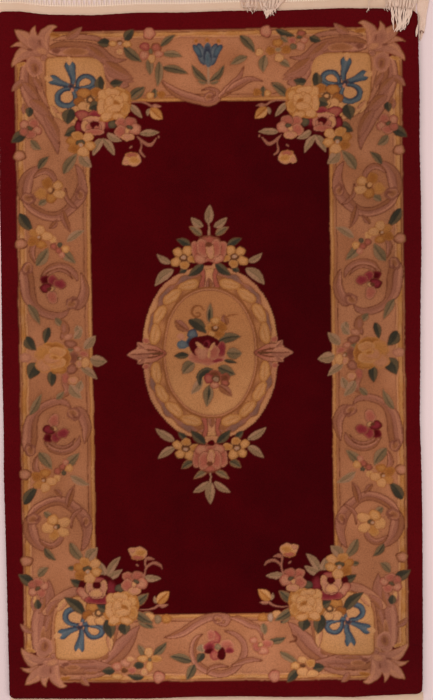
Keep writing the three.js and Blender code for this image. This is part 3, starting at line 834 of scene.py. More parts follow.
# Their flowers are drawn upright in every corner
CREAM_ROSE = (
    (-20, 4, 34, 60, "ochre", "gold"), (14, -28, 34, 16, "ochre", "gold", -10),
    (-6, 26, 40, 20, "gold", "butter"), (22, 18, 26, 30, "butter", "sand", -20),
    (4, 25, 34, 18, "sand", "butter", 10), (-22, 14, 22, 26, "butter", "gold"),
    (-24, -10, 20, 28, "gold", "butter", 10), (27, -4, 20, 34, "sand", "butter"),
    (16, -24, 30, 18, "sand", "butter", -20), (-8, -28, 30, 16, "sand", "gold", 10),
    (2, 0, 42, 40, "sand", "butter"), (-9, 9, 22, 20, "butter", "sand"),
    (11, 6, 17, 24, "sand", "butter"), (0, -9, 32, 15, "sand", "butter"),
    (-4, 3, 14, 7, "ochre", "gold", 20),
)
RED_ROSE = (
    (0, 0, 76, 54, "wine", "wine"), (24, 20, 34, 24, "rose", "raspberry", 20),
    (-3, 21, 32, 22, "raspberry", "rose"), (-24, 6, 27, 34, "raspberry", "wine", -20),
    (34, -4, 18, 26, "raspberry", "wine"), (3, 9, 48, 21, "blush", "sand"),
    (20, -2, 18, 26, "sand", "blush"), (-15, -2, 17, 25, "blush", "rose"),
    (1, -4, 34, 24, "rose", "blush"), (-1, 1, 18, 15, "wine", "wine"), (-5, -5, 10, 7, "rose", "blush"),
    (-1, -15, 42, 13, "rose", "blush"),
)
CUPPED_ROSE = (
    (0, 2, 84, 60, "wine", "wine"), (-30, 0, 24, 40, "raspberry", "wine"),
    (26, -14, 46, 22, "blush", "rose", 50), (-3, -24, 58, 22, "raspberry", "rose"),
    (2, 0, 46, 46, "rose", "blush"), (0, 18, 34, 16, "rose", "raspberry"),
    (16, 3, 17, 36, "blush", "sand"), (-13, 2, 16, 38, "blush", "sand", 10),
    (3, -10, 30, 20, "sand", "blush"), (1, 8, 17, 14, "wine", "wine"),
)
PINK_FLOWER = (
    (15, 13, 24, 22, "rose", "blush", 40), (-5, 14, 26, 24, "rose", "mauve"),
    (17, -5, 26, 24, "rose", "blush", 90), (-14, 0, 24, 28, "blush", "rose", 80),
    (1, -17, 28, 16, "blush", "sand"), (2, -2, 10, 14, "sand", "blush", 20),
    (-3, 4, 13, 8, "moss", "bottle", 20),
)
AMBER_FLOWER = (
    (-14, 16, 28, 20, "ochre", "gold", 20), (14, 14, 30, 22, "gold", "ochre", -10),
    (-22, -2, 22, 22, "ochre", "gold"), (24, -4, 24, 20, "ochre", "bronze"),
    (14, -15, 26, 20, "sand", "butter", 10), (-2, -16, 20, 16, "butter", "sand"),
    (0, 1, 17, 15, "moss", "umber"), (0, 1, 9, 8, "sand", "butter"),
)
HONEY_FLOWER = (
    (18, 6, 24, 20, "gold", "ochre"), (6, 17, 26, 18, "gold", "butter", 30),
    (-16, 14, 24, 18, "sand", "butter", -30), (-20, -4, 22, 18, "butter", "gold"),
    (14, -12, 26, 18, "ochre", "gold", 20), (-5, -18, 24, 20, "sand", "butter"),
    (0, 2, 20, 13, "moss", "bottle"), (-1, -4, 9, 9, "lilac", "sand"),
)
for corner in CORNERS:
    upright = Copy(corner.across, 1, corner.dx, corner.dy)
    up = corner.along
    leaves(corner, BOUQUET_LEAVES if up > 0 else LOW_BOUQUET_LEAVES)
    flower(upright, 258, 566*up, AMBER_FLOWER, "umber")
    leaf(corner, 236, 556, 262, 546, 24, "dark", 2)
    flower(upright, 250 if up > 0 else 260, 511*up, RED_ROSE if up > 0 else CUPPED_ROSE, "wine")
    flower(upright, 206, 555*up, CREAM_ROSE, "ochre")
    petal(corner, 211, 511, 17, 20, "moss", "bottle", 80)
    flower(upright, 177, 500*up, PINK_FLOWER, "rust")
    petal(corner, 299, 458, 18, 16, "blush", "mauve")
    flower(upright, 281, 470*up, HONEY_FLOWER, "ochre")

    # The sprays on the field: a bud with its sepals, and a small flower on a stem
    band(corner, ((172, 558, 2), (150, 559, 3), (136, 556, 4), (126, 550, 5)), STALK)
    leaf(corner, 127, 549, 103, 548, 7, "blush", -2)
    leaf(corner, 128, 545, 134, 528, 8, "pale", 2)
    leaf(corner, 128, 545, 100, 520, 24, "ochre", 1)
    if up > 0:
        band(corner, ((158, 484, 2), (150, 476, 5), (139, 467, 7), (128, 465, 7), (116, 478, 3)), STALK)
        band(corner, ((152, 478, 2), (149, 464, 3), (151, 450, 5), (142, 440, 3)), STALK)
        petal(corner, 110, 482, 4, 6, "mauve")
    else:
        band(corner, ((157, 486, 5), (153, 470, 4), (154, 450, 5), (146, 446, 8), (136, 448, 3)), STALK)
        band(corner, ((154, 474, 2), (147, 462, 5), (135, 456, 7), (122, 460, 6), (116, 468, 2)), STALK)
    petal(corner, 171, 461, 4, 8, "mauve", turn=50)
    petal(corner, 168, 434, 38, 28, "butter", "blush")
    petal(corner, 170, 444, 28, 12, "rose", "gold")
    petal(corner, 182, 428, 16, 14, "blush", "sand")
    petal(corner, 164, 433, 24, 14, "gold", "butter", 10)

# The medallion: an oval frame of gadroons, a fleuron at each side, a bouquet at each end
CENTRE = Copy(1, 1, -4, 9)
patch, dx, dy = CENTRE.around(0, 0, 200)
angle = np.arctan2(dy/188, dx/147)


def oval(half_wide, half_high, power):
    """Under 1 inside an oval round the medallion's middle"""
    return np.abs(dx/half_wide)**power + np.abs(dy/half_high)**power


ripple = 2.4*np.cos(16*angle) + 1.5*np.sin(29*angle)
weave = 0.8*np.sin(190*angle)
lay(patch, oval(148 + weave, 189 + weave, 2.25) < 1, "ground", "sand", 0.4 + 0.4*np.sin(5*angle))
lay(patch, oval(139 + ripple, 180 + ripple, 2.25) < 1, "bronze")
lay(patch, oval(137 + ripple, 178 + ripple, 2.25) < 1, "ash", "mauve", 0.5 - 0.6*np.cos(16*angle))
lay(patch, oval(128 - ripple, 169 - ripple, 2.2) < 1, "bronze")
lay(patch, oval(126 - ripple, 167 - ripple, 2.2) < 1, "straw", "clay", 0.5 - 0.5*np.cos(16*angle))
GADROONS = ((43, 150, 46, -14), (81, 124, 46, -38), (109, 86, 46, -60), (120, 41, 46, -82),
            (119, -43, 46, 82), (107, -88, 46, 62), (80, -124, 46, 40), (43, -148, 46, 15))
for half in (CENTRE, Copy(-1, 1, -4, 9)):
    for x, y, long, turn in GADROONS:
        petal(half, x, y, long + 4, 25, "bronze", turn=turn)
        petal(half, x, y, long + 2, 22.5, "sand", "gold", turn)
        petal(half, x, y, 0.7*long, 2, "gold", turn=turn + 4)

# The straps that tie the frame at its top and bottom
STRAP_CAP = 191
STRAP_FORM = ((0, 144, 46), (0, 156, 38), (0, 170, 34), (0, 184, 44))
for strap in (CENTRE, Copy(1, -1, -4, 9)):
    band(strap, STRAP_FORM, STRAP)
    petal(strap, 0, STRAP_CAP, 42, 17, "rust")
    petal(strap, 0, STRAP_CAP, 40, 15, "ground", "sand")
    leaf(strap, 0, 138, 0, 166, 15, "mauve")

lay(patch, oval(106.5, 145.5, 2.15) < 1, "bronze")
lay(patch, oval(102.5, 141.5, 2.1) < 1, "ground")
lay(patch, oval(100, 139, 2.1) < 1, "clay")
lower_half = 0.25 - 0.004*dy + 0.25*clouds(30, woven_x, woven_y, 9)[patch]
lay(patch, oval(98, 137, 2.1) < 1, "straw", "sand", lower_half)

# The fleurons at its sides
for half in (Copy(-1, 1, -4, 6), Copy(1, 1, -4, 6)):
    band(half, ((100, 2, 10), (112, 2, 22), (130, 2, 40), (146, 2, 44)), FLEURON)
    leaf(half, 146, 14, 160, 28, 15, "blush")
    leaf(half, 146, -9, 160, -20, 14, "blush")
    leaf(half, 132, 2, 183, 1, 26, "blush")
    leaf(half, 102, 2, 140, 2, 6, "rust")
    petal(half, 141, 31, 16, 12, "rose", "blush", 20)
    petal(half, 142, -27, 14, 12, "rose", "blush", -20)

HEART = Copy(1, 1)
HEART_LEAVES = (
    (-5, 74, -2, 120, 18, "grey"), (-50, 81, -12, 51, 26, "dark", 4),
    (-79, 81, -48, 56, 22, "mauve", -3), (33, 67, 27, 93, 17, "mauve"), (15, 33, 65, 43, 23, "half", 4),
    (-50, 4, -84, 2, 17, "dark"), (32, 7, 67, 7, 28, "grey"), (-39, -12, -66, -38, 28, "grey", -2),
    (13, -24, 51, -40, 26, "half"), (-22, -46, -48, -82, 18, "pale", 2),
    (-7, -62, -14, -112, 25, "grey"), (12, -62, 43, -88, 19, "mauve", 2),
)
HEART_ROSE = (
    (0, -15, 82, 38, "rose", "blush"), (-6, 8, 68, 50, "wine", "wine"),
    (31, 1, 20, 34, "raspberry", "rose", -8), (22, -24, 26, 8, "raspberry", "rose", 10),
    (-12, -6, 30, 36, "blush", "rose", 10), (14, -5, 25, 34, "rose", "blush", -8),
    (-16, 9, 26, 9, "sand", "blush", -40), (10, 7, 24, 8, "sand", "blush", 55),
    (3, -10, 8, 20, "sand", "blush"), (-1, 14, 20, 19, "raspberry", "wine"),
    (-3, 13, 10, 11, "wine", "wine"),
)
YELLOW_FLOWER = (
    (1, 17, 21, 16, "butter", "gold"), (-13, 2, 17, 18, "gold", "butter"),
    (16, 3, 17, 23, "ochre", "gold", 10), (8, -12, 23, 15, "ochre", "gold", -10),
    (-8, -11, 17, 15, "butter", "gold"), (0, 0, 17, 13, "umber", "umber"),
    (1, 2, 9, 7, "lilac", "sand"),
)
RED_FLOWER = (
    (-3, 12, 27, 15, "rust", "rose"), (19, 4, 21, 17, "rust", "rose"),
    (19, -7, 19, 12, "rose", "rust", -20), (-16, 2, 19, 20, "rose", "raspberry"),
    (-4, -12, 19, 13, "blush", "rose"), (0, 2, 17, 14, "moss", "umber"), (0, 1, 11, 9, "sage", "lilac"),
)
leaves(HEART, HEART_LEAVES)
petal(HEART, -5, 91, 7, 26, "bottle", "moss", -4)
petal(HEART, -8, -80, 7, 28, "bottle", "moss", -5)
petal(HEART, -68, 45, 19, 14, "blush", "ground", -20)
leaf(HEART, 26, -8, 55, -14, 10, "dark")
band(HEART, ((-17, 103, 3), (-26, 112, 4), (-38, 110, 5), (-43, 98, 5), (-38, 89, 5), (-28, 89, 5),
             (-27, 96, 4), (-34, 96, 3)), LINE)
band(HEART, ((29, 84, 3), (40, 90, 4), (57, 92, 2)), LINE)
band(HEART, ((-2, -31, 10), (-14, -31, 14), (-27, -42, 14), (-28, -60, 6)), CUP)
petal(HEART, -43, 50, 23, 21, "steel", "navy")
petal(HEART, -64, 28, 26, 19, "steel", "teal")
petal(HEART, -48, 33, 17, 21, "navy", "steel")
flower(HEART, 8, 61, YELLOW_FLOWER, "ochre")
flower(HEART, -10, 15, HEART_ROSE)
flower(HEART, 8, -50, RED_FLOWER, "rust")

# The bouquets over and under the medallion, each mirrored left and right
UPPER_SPRAY = (
    (40, 241, 72, 258, 18, "dark", 2), (12, 204, 48, 178, 20, "dark", -2),
    (50, 196, 66, 186, 15, "dark"), (84, 207, 115, 226, 14, "pale", -3),
    (79, 193, 121, 156, 22, "pale", 4), (15, 266, 43, 285, 17, "grey", 2),
    (12, 285, 39, 305, 16, "pale", -2),
)
LOWER_SPRAY = (
    (40, 230, 66, 246, 17, "half", -2), (12, 190, 44, 160, 20, "dark", 2),
    (52, 182, 72, 164, 15, "dark"), (80, 184, 122, 157, 17, "pale", 2),
    (80, 199, 117, 223, 17, "pale", -2), (8, 250, 40, 269, 15, "grey", -2),
    (6, 275, 41, 298, 15, "pale", 2),
)
END_FLOWER = (
    (12, 11, 22, 18, "butter", "gold", 30), (-8, 14, 20, 22, "butter", "gold"),
    (-20, -3, 22, 15, "gold", "butter", 5), (-2, -15, 20, 17, "gold", "butter"),
    (17, -8, 24, 18, "butter", "gold", -35), (0, 0, 17, 13, "umber", "umber"),
    (0, 1, 11, 8, "lilac", "sand"),
)
END_ROSE = (
    (0, 4, 64, 50, "rose", "rose"), (-27, -2, 23, 40, "rose", "blush", 10),
    (27, -2, 23, 40, "rose", "blush", -10), (-20, -21, 29, 19, "blush", "rose", -20),
    (18, -21, 29, 19, "blush", "rose", 20), (0, -24, 20, 12, "rose", "blush"),
    (0, 21, 46, 18, "rose", "rust"), (-13, 3, 26, 40, "rose", "blush", 15),
    (13, 1, 26, 40, "rose", "blush", -15), (2, -3, 17, 34, "blush", "sand", 5),
    (-1, 11, 13, 9, "rust", "rust"),
)
for spray, halves, middle in ((UPPER_SPRAY, (Copy(1, 1, -3), Copy(-1, 1, -3)), 218),
                              (LOWER_SPRAY, (Copy(1, -1, -5), Copy(-1, -1, -5)), 202)):
    for half in halves:
        leaves(half, spray)
        flower(half, 56, middle, END_FLOWER, "umber")
upper = Copy(1, 1, -3)
lower = Copy(1, -1, -8)
band(upper, ((0, 262, 5), (1, 280, 4), (0, 294, 3)), STEM)
band(lower, ((0, 250, 5), (1, 266, 4), (0, 280, 3)), STEM)
leaf(upper, 0, 292, 2, 332, 20, "pale")
leaf(lower, 2, 276, 0, 324, 21, "pale", 2)
flower(upper, 0, 235, END_ROSE, "rust")
flower(lower, 0, 224, END_ROSE, "rust")
petal(Copy(), -5, -189, 16, 12, "crimson")
petal(Copy(), -6, 204, 22, 10, "crimson")

# The light wools are lighter towards the lower end. Over the whole drawing lie wide patches of painted
# light and painted shade, lighter or darker as if the light fell unevenly:
# middle x and y, reach, share lighter
lighter_low_end = np.clip((-430 - knot_y)/150, 0, 1)*(dye[..., 1] > 40)
dye *= 1 + lighter_low_end[..., None]*(0.12, 0.15, 0.19)
PAINTED_LIGHT_PATCHES = ((0, 650, 230, 0.05), (-380, 640, 90, 0.03), (0, -660, 230, 0.05), (400, -640, 110, -0.11),
         (400, 260, 260, -0.06), (-400, 260, 260, -0.03), (0, 10, 150, -0.04))
for x, y, reach, share in PAINTED_LIGHT_PATCHES:
    away = np.hypot(knot_x - x, knot_y - y)/reach
    dye *= 1 + share*np.exp(-away[..., None]**2)

# The pile
# Wool, knotted round the warps tuft by tuft and shorn level. Then the line between two motifs is
# clipped down by hand, which leaves each motif a little pillowed. Nine panels meet edge to edge here.
PILE_TOP = 12.8
CARVING = 2.0        # how deep the clipped lines are
GROOVE_REACH = 1.3
GROOVE_SLOPE = 2.6
SHEARING = 0.3       # how far the shorn height wavers over a few rows, and from knot to knot
KNOTTING = 0.22
LEAN = 2.0           # the pile's walls lean this far out past the foundation
PILE_STEP = 1.9      # between the mesh's points
# The walls: height, and how far out of the woven edge
RIM = ((PILE_TOP, 0.0), (10.6, 0.8), (7.0, LEAN), (BACKING + 0.1, 0.0))
ROUNDED_IN = ((0.0, 1.7), (3.0, 0.7), (8.0, 0.0))     # distance in from the edge, drop in mm
RAGGED = 0.7
CUTS_X = (-1.0, -0.58, 0.58, 1.0)
CUTS_Y = (-1.0, -0.333, 0.333, 1.0)

meets = np.zeros(shape.shape)
meets[:, 1:] += shape[:, 1:] != shape[:, :-1]
meets[1:, :] += shape[1:, :] != shape[:-1, :]
meets = np.minimum(meets, 1)


def softened(picture, reach):
    """The picture with each point shared out over `reach` mm, by a bell curve"""
    turns_x = np.fft.rfftfreq(picture.shape[1], KNOT)
    turns_y = np.fft.fftfreq(picture.shape[0], KNOT)
    bell = np.exp(-2*(np.pi*reach)**2*(turns_x[None, :]**2 + turns_y[:, None]**2))
    return np.fft.irfft2(np.fft.rfft2(picture)*bell, picture.shape)


groove = np.clip(softened(meets, GROOVE_REACH)*GROOVE_SLOPE, 0, 1)
height = PILE_TOP - CARVING*groove + SHEARING*clouds(16, knot_x, knot_y, 5)
height += KNOTTING*clouds(4.2, knot_x, knot_y, 6)


def read_off(picture, x, y):
    """A raster's values at points in mm, evened out between its points"""
    column = np.clip((x - across_mm[0])/KNOT, 0, len(across_mm) - 1.001)
    row = np.clip((y - along_mm[0])/KNOT, 0, len(along_mm) - 1.001)
    c = column.astype(int)
    r = row.astype(int)
    share_x = column - c
    share_y = row - r
    if picture.ndim == 3:
        share_x = share_x[:, None]
        share_y = share_y[:, None]
    low = picture[r, c]*(1 - share_x) + picture[r, c + 1]*share_x
    high = picture[r + 1, c]*(1 - share_x) + picture[r + 1, c + 1]*share_x
    return low*(1 - share_y) + high*share_y


seen = dye/255
light = np.where(seen > 0.04, ((seen + 0.055)/1.055)**2.4, seen/12.92)
dyed = np.stack([softened(light[:, :, c], 0.6) for c in range(3)], axis=2)
dyed = np.clip(dyed, 0, 1)

wool = Recipe("carved_wool", Roughness=0.95, Specular_IOR_Level=0.03, Sheen_Weight=0.02,
              Sheen_Roughness=0.5)
yarn_dye = wool.add("Attribute", out="Color", attribute_name="dye")
abrash = wool.noise(7.0, 3.0)
tufts = wool.noise(420.0, 1.0)
fibre = wool.noise(1500.0, 2.0)
# The wool's colour varies at random over patches, tufts and fibres, and it is darkened between the
# tufts as painted shade in the crevices.
cells = wool.add("TexVoronoi", {"Vector": wool.object_place(), "Scale": 480.0}, "Distance")
tone_and_painted_shade = (tufts - 0.5)*0.4 + (abrash - 0.5)*0.5 + (fibre - 0.5)*0.3 + (0.45 - cells)*0.35 + 1.0
wool.feed("Base Color", wool.add("VectorMath", {0: yarn_dye, "Scale": tone_and_painted_shade}, operation="SCALE"))
wool.bumps(tufts*0.5 + fibre*0.3 + (1 - cells)*0.6, 1.6, 0.8)

for top in range(3):
    for side in range(3):
        west, east = CUTS_X[side:side + 2]
        south, north = CUTS_Y[top:top + 2]
        columns = round((east - west)*HALF_WIDTH/PILE_STEP)
        rows = round((north - south)*HALF_LENGTH/PILE_STEP)
        name = "pile_" + ("lower", "middle", "upper")[top] + "_" + ("left", "field", "right")[side]
        patch = slab(name, columns, rows, 3)
        u, v, ring = where(patch.data)
        u = west + (u + 1)/2*(east - west)
        v = south + (v + 1)/2*(north - south)
        ring = np.round(ring).astype(int)
        walls = np.array(RIM)
        x, y = lie(u, v, walls[ring, 1])
        from_x, from_y = past_corner(x, y, *edges_at(u, v))
        inward = CORNER_RADIUS - np.hypot(from_x, from_y)
        z = read_off(height, x, y) - np.interp(inward, *zip(*ROUNDED_IN))
        z = np.where(ring > 0, walls[ring, 0], z)
        ragged = np.where((ring == 1) | (ring == 2), RAGGED, 0.0)
        x += ragged*clouds(2.4, x + 7*z, y, 8)*(np.abs(u) > 0.999)
        y += ragged*clouds(2.4, x, y + 7*z, 9)*(np.abs(v) > 0.999)
        place(patch.data, x, y, z)

        colours = np.ones((len(x), 4))
        colours[:, :3] = read_off(dyed, x, y)
        layer = patch.data.attributes.new("dye", "FLOAT_COLOR", "POINT")
        layer.data.foreach_set("color", colours.ravel())

        # The top and the walls fill most of the map, and the flat underside takes a small corner
        corners = np.empty(len(patch.data.loops), int)
        patch.data.loops.foreach_get("vertex_index", corners)
        flat_u = 0.01 + 0.95*(x - x.min())/np.ptp(x)
        flat_v = 0.01 + 0.95*(y - y.min())/np.ptp(y)
        spread = np.column_stack([flat_u[corners], flat_v[corners]])
        underside = max(patch.data.polygons, key=lambda p: len(p.vertices))
        under = slice(underside.loop_start, underside.loop_start + len(underside.vertices))
        spread[under] = 0.98 + 0.01*spread[under]
        chart = patch.data.uv_layers.new(name="OFBake")
        chart.uv.foreach_set("vector", spread.ravel())

        patch.data.materials.append(wool.material)
        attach(patch, "root")
        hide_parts("pile_body")

# The webs
# At each end the cotton warps run on past the pile, and cotton weft is woven through them into a
# strip 24 mm wide, which keeps the last row of knots from working loose.
WEB_REACH = 24.0
WEB_GAP = 0.3
WEB_THICKNESS = 2.5
WEB_PITCH = 1.1
WEB_RELIEF = 0.3     # how far it rises and sinks where its warps are drawn into locks
WEB_DROP = 0.7       # how far its last row slopes down to the fringe
LOCK_PITCH = 11.0

cotton = Recipe("ivory_cotton_web", Roughness=0.9, Specular_IOR_Level=0.15)
inputs = {"Vector": cotton.object_place(), "Scale": 285.0, "Distortion": 1.2, "Detail": 1.0}
ribs = cotton.add("TexWave", inputs, 1, bands_direction="X")
inputs.update({"Scale": 420.0, "Distortion": 1.0})
picks = cotton.add("TexWave", inputs, 1, bands_direction="Y")
soil = cotton.noise(26.0, 4.0)
lint = cotton.noise(900.0, 2.0)
ivory = cotton.mix(soil, linear(255, 226, 200), linear(246, 206, 176))
woven = ribs*0.55 + picks*0.45
# The web is painted darker in the hollows of its woven relief, as painted shade.
cotton.feed("Base Color", cotton.mix(woven*0.8 + lint*0.2, linear(224, 178, 148), ivory))
cotton.bumps(woven*0.8 + lint*0.3, 0.7)

webs = []
for name, end, column in (("web_top", 1, 1), ("web_bottom", -1, 2)):
    web = slab(name, round(2*HALF_WIDTH/WEB_PITCH), 20, 1)
    u, v, ring = where(web.data)
    x = u*(HALF_WIDTH - 0.5)
    share = (v + 1)/2
    beyond = WEB_GAP + share*(WEB_REACH - WEB_GAP)
    last = np.clip(share*10 - 9, 0, 1)
    gathered = np.cos(2*np.pi*x/(LOCK_PITCH/2))*np.clip(share*3 - 2, 0, 1)
    y = end*(HALF_LENGTH + strays(END_EDGES, u, column) + beyond)
    z = WEB_THICKNESS - 0.35 + WEB_RELIEF*gathered + 0.12*clouds(5, x, y, 11) - WEB_DROP*last
    y += end*0.5*gathered*last
    place(web.data, x, y, np.where(ring == 0, z, 0.0))
    if end < 0:
        web.data.flip_normals()
    web.data.materials.append(cotton.material)
    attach(web, "root")
    webs.append(web)

# The straight fringe
# The warps that come out of the web are gathered in pairs of plied cotton cords, a lock each 11 mm,
# drawn together close to the web, and they lie flat on the floor with slightly uneven ends.
LOCKS_EACH_SIDE = 41
FRINGE = 65.0
ROOT_IN_WEB = 4.0
TOP_BREAKS = ((72.0, 170.0), (347.0, 356.0), (392.0, 460.0))


def cords(name, runs, sides):
    """Many cords as one mesh; each run is rows of x, y, z, half width and half height in mm"""
    runs = np.array(runs)
    many, rings = runs.shape[:2]
    path = runs[:, :, :3]
    ahead = np.gradient(path, axis=1)
    ahead /= np.maximum(np.linalg.norm(ahead, axis=2), 1e-9)[..., None]
    aside = np.empty_like(path)
    start = np.cross(ahead[:, 0], (0.0, 0.0, 1.0))
    for ring in range(rings):
        start = start - (start*ahead[:, ring]).sum(1)[:, None]*ahead[:, ring]
        start /= np.maximum(np.linalg.norm(start, axis=1), 1e-9)[:, None]
        aside[:, ring] = start
    above = np.cross(aside, ahead)
    angle = 2*np.pi*(np.arange(sides) + 0.5)/sides
    spread = np.cos(angle)[None, None, :, None]*aside[:, :, None]*runs[:, :, None, 3:4]
    spread = spread + np.sin(angle)[None, None, :, None]*above[:, :, None]*runs[:, :, None, 4:5]
    points = (path[:, :, None] + spread).reshape(-1, 3)*MM
    first = (np.arange(many)*rings*sides)[:, None, None]
    ring = (np.arange(rings - 1)*sides)[None, :, None]
    corner = np.arange(sides)[None, None, :]
    beside = (corner + 1) % sides
    quads = np.stack([first + ring + corner, first + ring + beside,
                      first + ring + beside + sides, first + ring + corner + sides], axis=-1)
    faces = quads.reshape(-1, 4).tolist()
    ends = np.arange(sides)
    for cord in range(many):
        base = cord*rings*sides
        faces.append((base + ends[::-1]).tolist())
        faces.append((base + (rings - 1)*sides + ends).tolist())
    mesh = bpy.data.meshes.new(name)
    mesh.from_pydata(points.tolist(), [], faces)
    mesh.polygons.foreach_set("use_smooth", [len(f) == 4 for f in faces])
    run_length = np.cumsum(np.linalg.norm(np.diff(path, axis=1, prepend=path[:, :1]), axis=2), 1)
    twist = np.repeat(run_length[:, :, None], sides, axis=2)
    for label, values in (("run", twist), ("around", angle[None, None]*np.ones_like(twist))):
        layer = mesh.attributes.new(label, "FLOAT", "POINT")
        layer.data.foreach_set("value", values.ravel())
    piece = bpy.data.objects.new(name, mesh)
    bpy.context.collection.objects.link(piece)
    return piece


cord = Recipe("plied_cotton_cord", Roughness=0.9, Specular_IOR_Level=0.15)
run = cord.add("Attribute", out="Fac", attribute_name="run")
around = cord.add("Attribute", out="Fac", attribute_name="around")
plies = cord.add("Math", {0: around*2.0 + run*1.4}, operation="SINE")*0.5 + 0.5
soil = cord.noise(30.0, 4.0)
lint = cord.noise(1100.0, 2.0)
ivory = cord.mix(soil, linear(255, 238, 220), linear(246, 212, 188))
# The cord is painted darker in the grooves between its plies, as painted shade.
cord.feed("Base Color", cord.mix(plies**0.5*0.8 + lint*0.2, linear(226, 182, 156), ivory))
cord.bumps(plies*0.8 + lint*0.2, 0.8)

# Shares of a lock's length, how far its two cords lie from its middle, and their half width and
# half height: root, knot, neck, cord, frayed end
LOCK_FORM = ((0.0, 2.75, 2.4, 1.1), (0.06, 2.7, 2.5, 1.25), (0.12, 2.3, 1.9, 1.4),
             (0.18, 1.5, 1.4, 1.5), (0.24, 1.15, 1.25, 1.35), (0.4, 1.2, 1.2, 1.2),
             (0.6, 1.15, 1.25, 1.2), (0.8, 1.25, 1.2, 1.15), (0.93, 1.2, 1.25, 1.1),
             (1.0, 1.7, 0.6, 0.5))
for name, end, column, web, replaced in (("locks_top", 1, 1, webs[0], "fringe_top"),
                                         ("locks_bottom", -1, 2, webs[1], "fringe_bottom")):
    runs = []
    for i in range(-LOCKS_EACH_SIDE, LOCKS_EACH_SIDE + 1):
        root = i*LOCK_PITCH
        if end > 0 and any(low < root < high for low, high in TOP_BREAKS):
            continue
        k = i + 9*end
        edge = HALF_LENGTH + strays(END_EDGES, root/HALF_WIDTH, column)
        for side in (-1, 1):
            long = FRINGE + 3*np.sin(1.7*i) - 2.5*np.sin(0.31*i) + 1.5*side*np.sin(2.9*i)
            sway = 3*np.sin(0.45*k) + 1.4*np.sin(2.3*k)
            rows = []
            for share, apart, half_wide, half_high in LOCK_FORM:
                x = root + sway*share**2 + side*apart
                y = end*(edge + WEB_REACH - ROOT_IN_WEB + share*(long + ROOT_IN_WEB))
                rows.append((x, y, half_high, half_wide, half_high))
            runs.append(rows)
    locks = cords(name, runs, 8)
    locks.data.materials.append(cord.material)
    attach(locks, "root")
    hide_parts(replaced)
    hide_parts(replaced)

# The turned-back strands
# At the upper end some of the cotton fringe was flipped over the edge when the rug was laid. Bunches
# of untwisted yarns lie on the pile, and a bundle of long strands lies round the corner.
# Each bunch: its roots from and to, its tips from and to, how many strands and yarns in each, a
# yarn's thickness, and how far the tips in its middle and at its sides reach over the pile, in mm
TURNED = (
    (112.0, 176.0, 127.0, 144.0, 11, 3, 1.8, 17.0, 2.0),
    (88.0, 104.0, 92.0, 104.0, 3, 3, 1.7, 8.0, 4.0), (74.0, 82.0, 84.0, 96.0, 2, 3, 1.7, -6.0, -6.0),
    (360.0, 360.0, 348.0, 348.0, 1, 2, 1.6, 9.0, 9.0),
    (392.0, 400.0, 390.0, 399.0, 3, 2, 1.7, 7.0, 4.0),
    (401.0, 463.0, 406.0, 432.0, 12, 2, 2.6, 49.0, 30.0),
)
# A strand's way round: out from the edge of the pile and above the floor, in mm
WAY = ((20.0, 1.4), (27.0, 1.4), (32.0, 1.5), (35.5, 2.3), (36.3, 3.6), (34.5, 5.2), (30.0, 5.6),
       (22.0, 5.0), (16.8, 4.6), (9.1, 5.6), (5.1, 8.6), (3.8, 12.5), (1.6, 15.4), (-3.0, 16.2),
       (-9.0, 15.6))
ON_PILE = 14.2       # the height at which the tips come to lie

loose = Recipe("untwisted_cotton_yarn", Roughness=0.9, Specular_IOR_Level=0.15)
strand = loose.mix(loose.noise(45.0, 3.0), linear(255, 238, 220), linear(244, 210, 188))
# Fine darker specks are painted shade in the crevices between the fibres.
loose.feed("Base Color", loose.mix(loose.noise(700.0, 2.0), linear(206, 160, 138), strand))
loose.bumps(loose.noise(900.0, 3.0), 0.6, 0.6)

chance = np.random.default_rng(31)
runs = []
for from_x, to_x, tip_from, tip_to, strands, yarns, thick, middle, sides in TURNED:
    for k in range(strands):
        share = k/max(strands - 1, 1)
        root = from_x + (to_x - from_x)*share
        tip = tip_from + (tip_to - tip_from)*share
        reach = sides + (middle - sides)*np.sin(np.pi*share**0.7)**0.8
        edge = HALF_LENGTH + strays(END_EDGES, root/HALF_WIDTH, 1)
        for yarn in range(yarns):
            ends = max(reach - 3*yarn - chance.uniform(0, 0.12*thick*thick*thick), -7.0)
            stray = chance.uniform(-1.3, 1.3, 2)*(thick - 1)
            way = [w for w in WAY if w[0] > -ends]
            far = np.linspace(way[-1][0], -ends, 6)[1:]
            way = np.array(way + [(f, ON_PILE) for f in far])
            steps = np.linspace(0, 1, 30)
            length = np.concatenate([[0], np.cumsum(np.hypot(*np.diff(way, axis=0).T))])
            length /= length[-1]
            outs = np.interp(steps, length, way[:, 0])
            ups = np.interp(steps, length, way[:, 1])
            wave = chance.uniform(0, 6.3)
            hook = chance.uniform(-4, 4)
            spread = (yarn - yarns/2 + 0.5)*(1.5 + 2.0*steps)
            x = root + stray[0] + (tip + 2*stray[1] - root - stray[0])*steps**1.5 + spread
            x += 2.6*steps*np.sin(wave + 8*steps) + 1.2*steps*np.sin(3*wave + 25*steps)
            x += hook*np.clip(steps*6 - 5, 0, 1)**2
            thin = thick/2*(1 - 0.4*steps**10)
            runs.append(np.column_stack([x, edge + outs, ups + 0.5*yarn, thin, thin]))
turned = cords("turned_strands", runs, 5)
turned.data.materials.append(loose.material)
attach(turned, "root")
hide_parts("fringe_top")

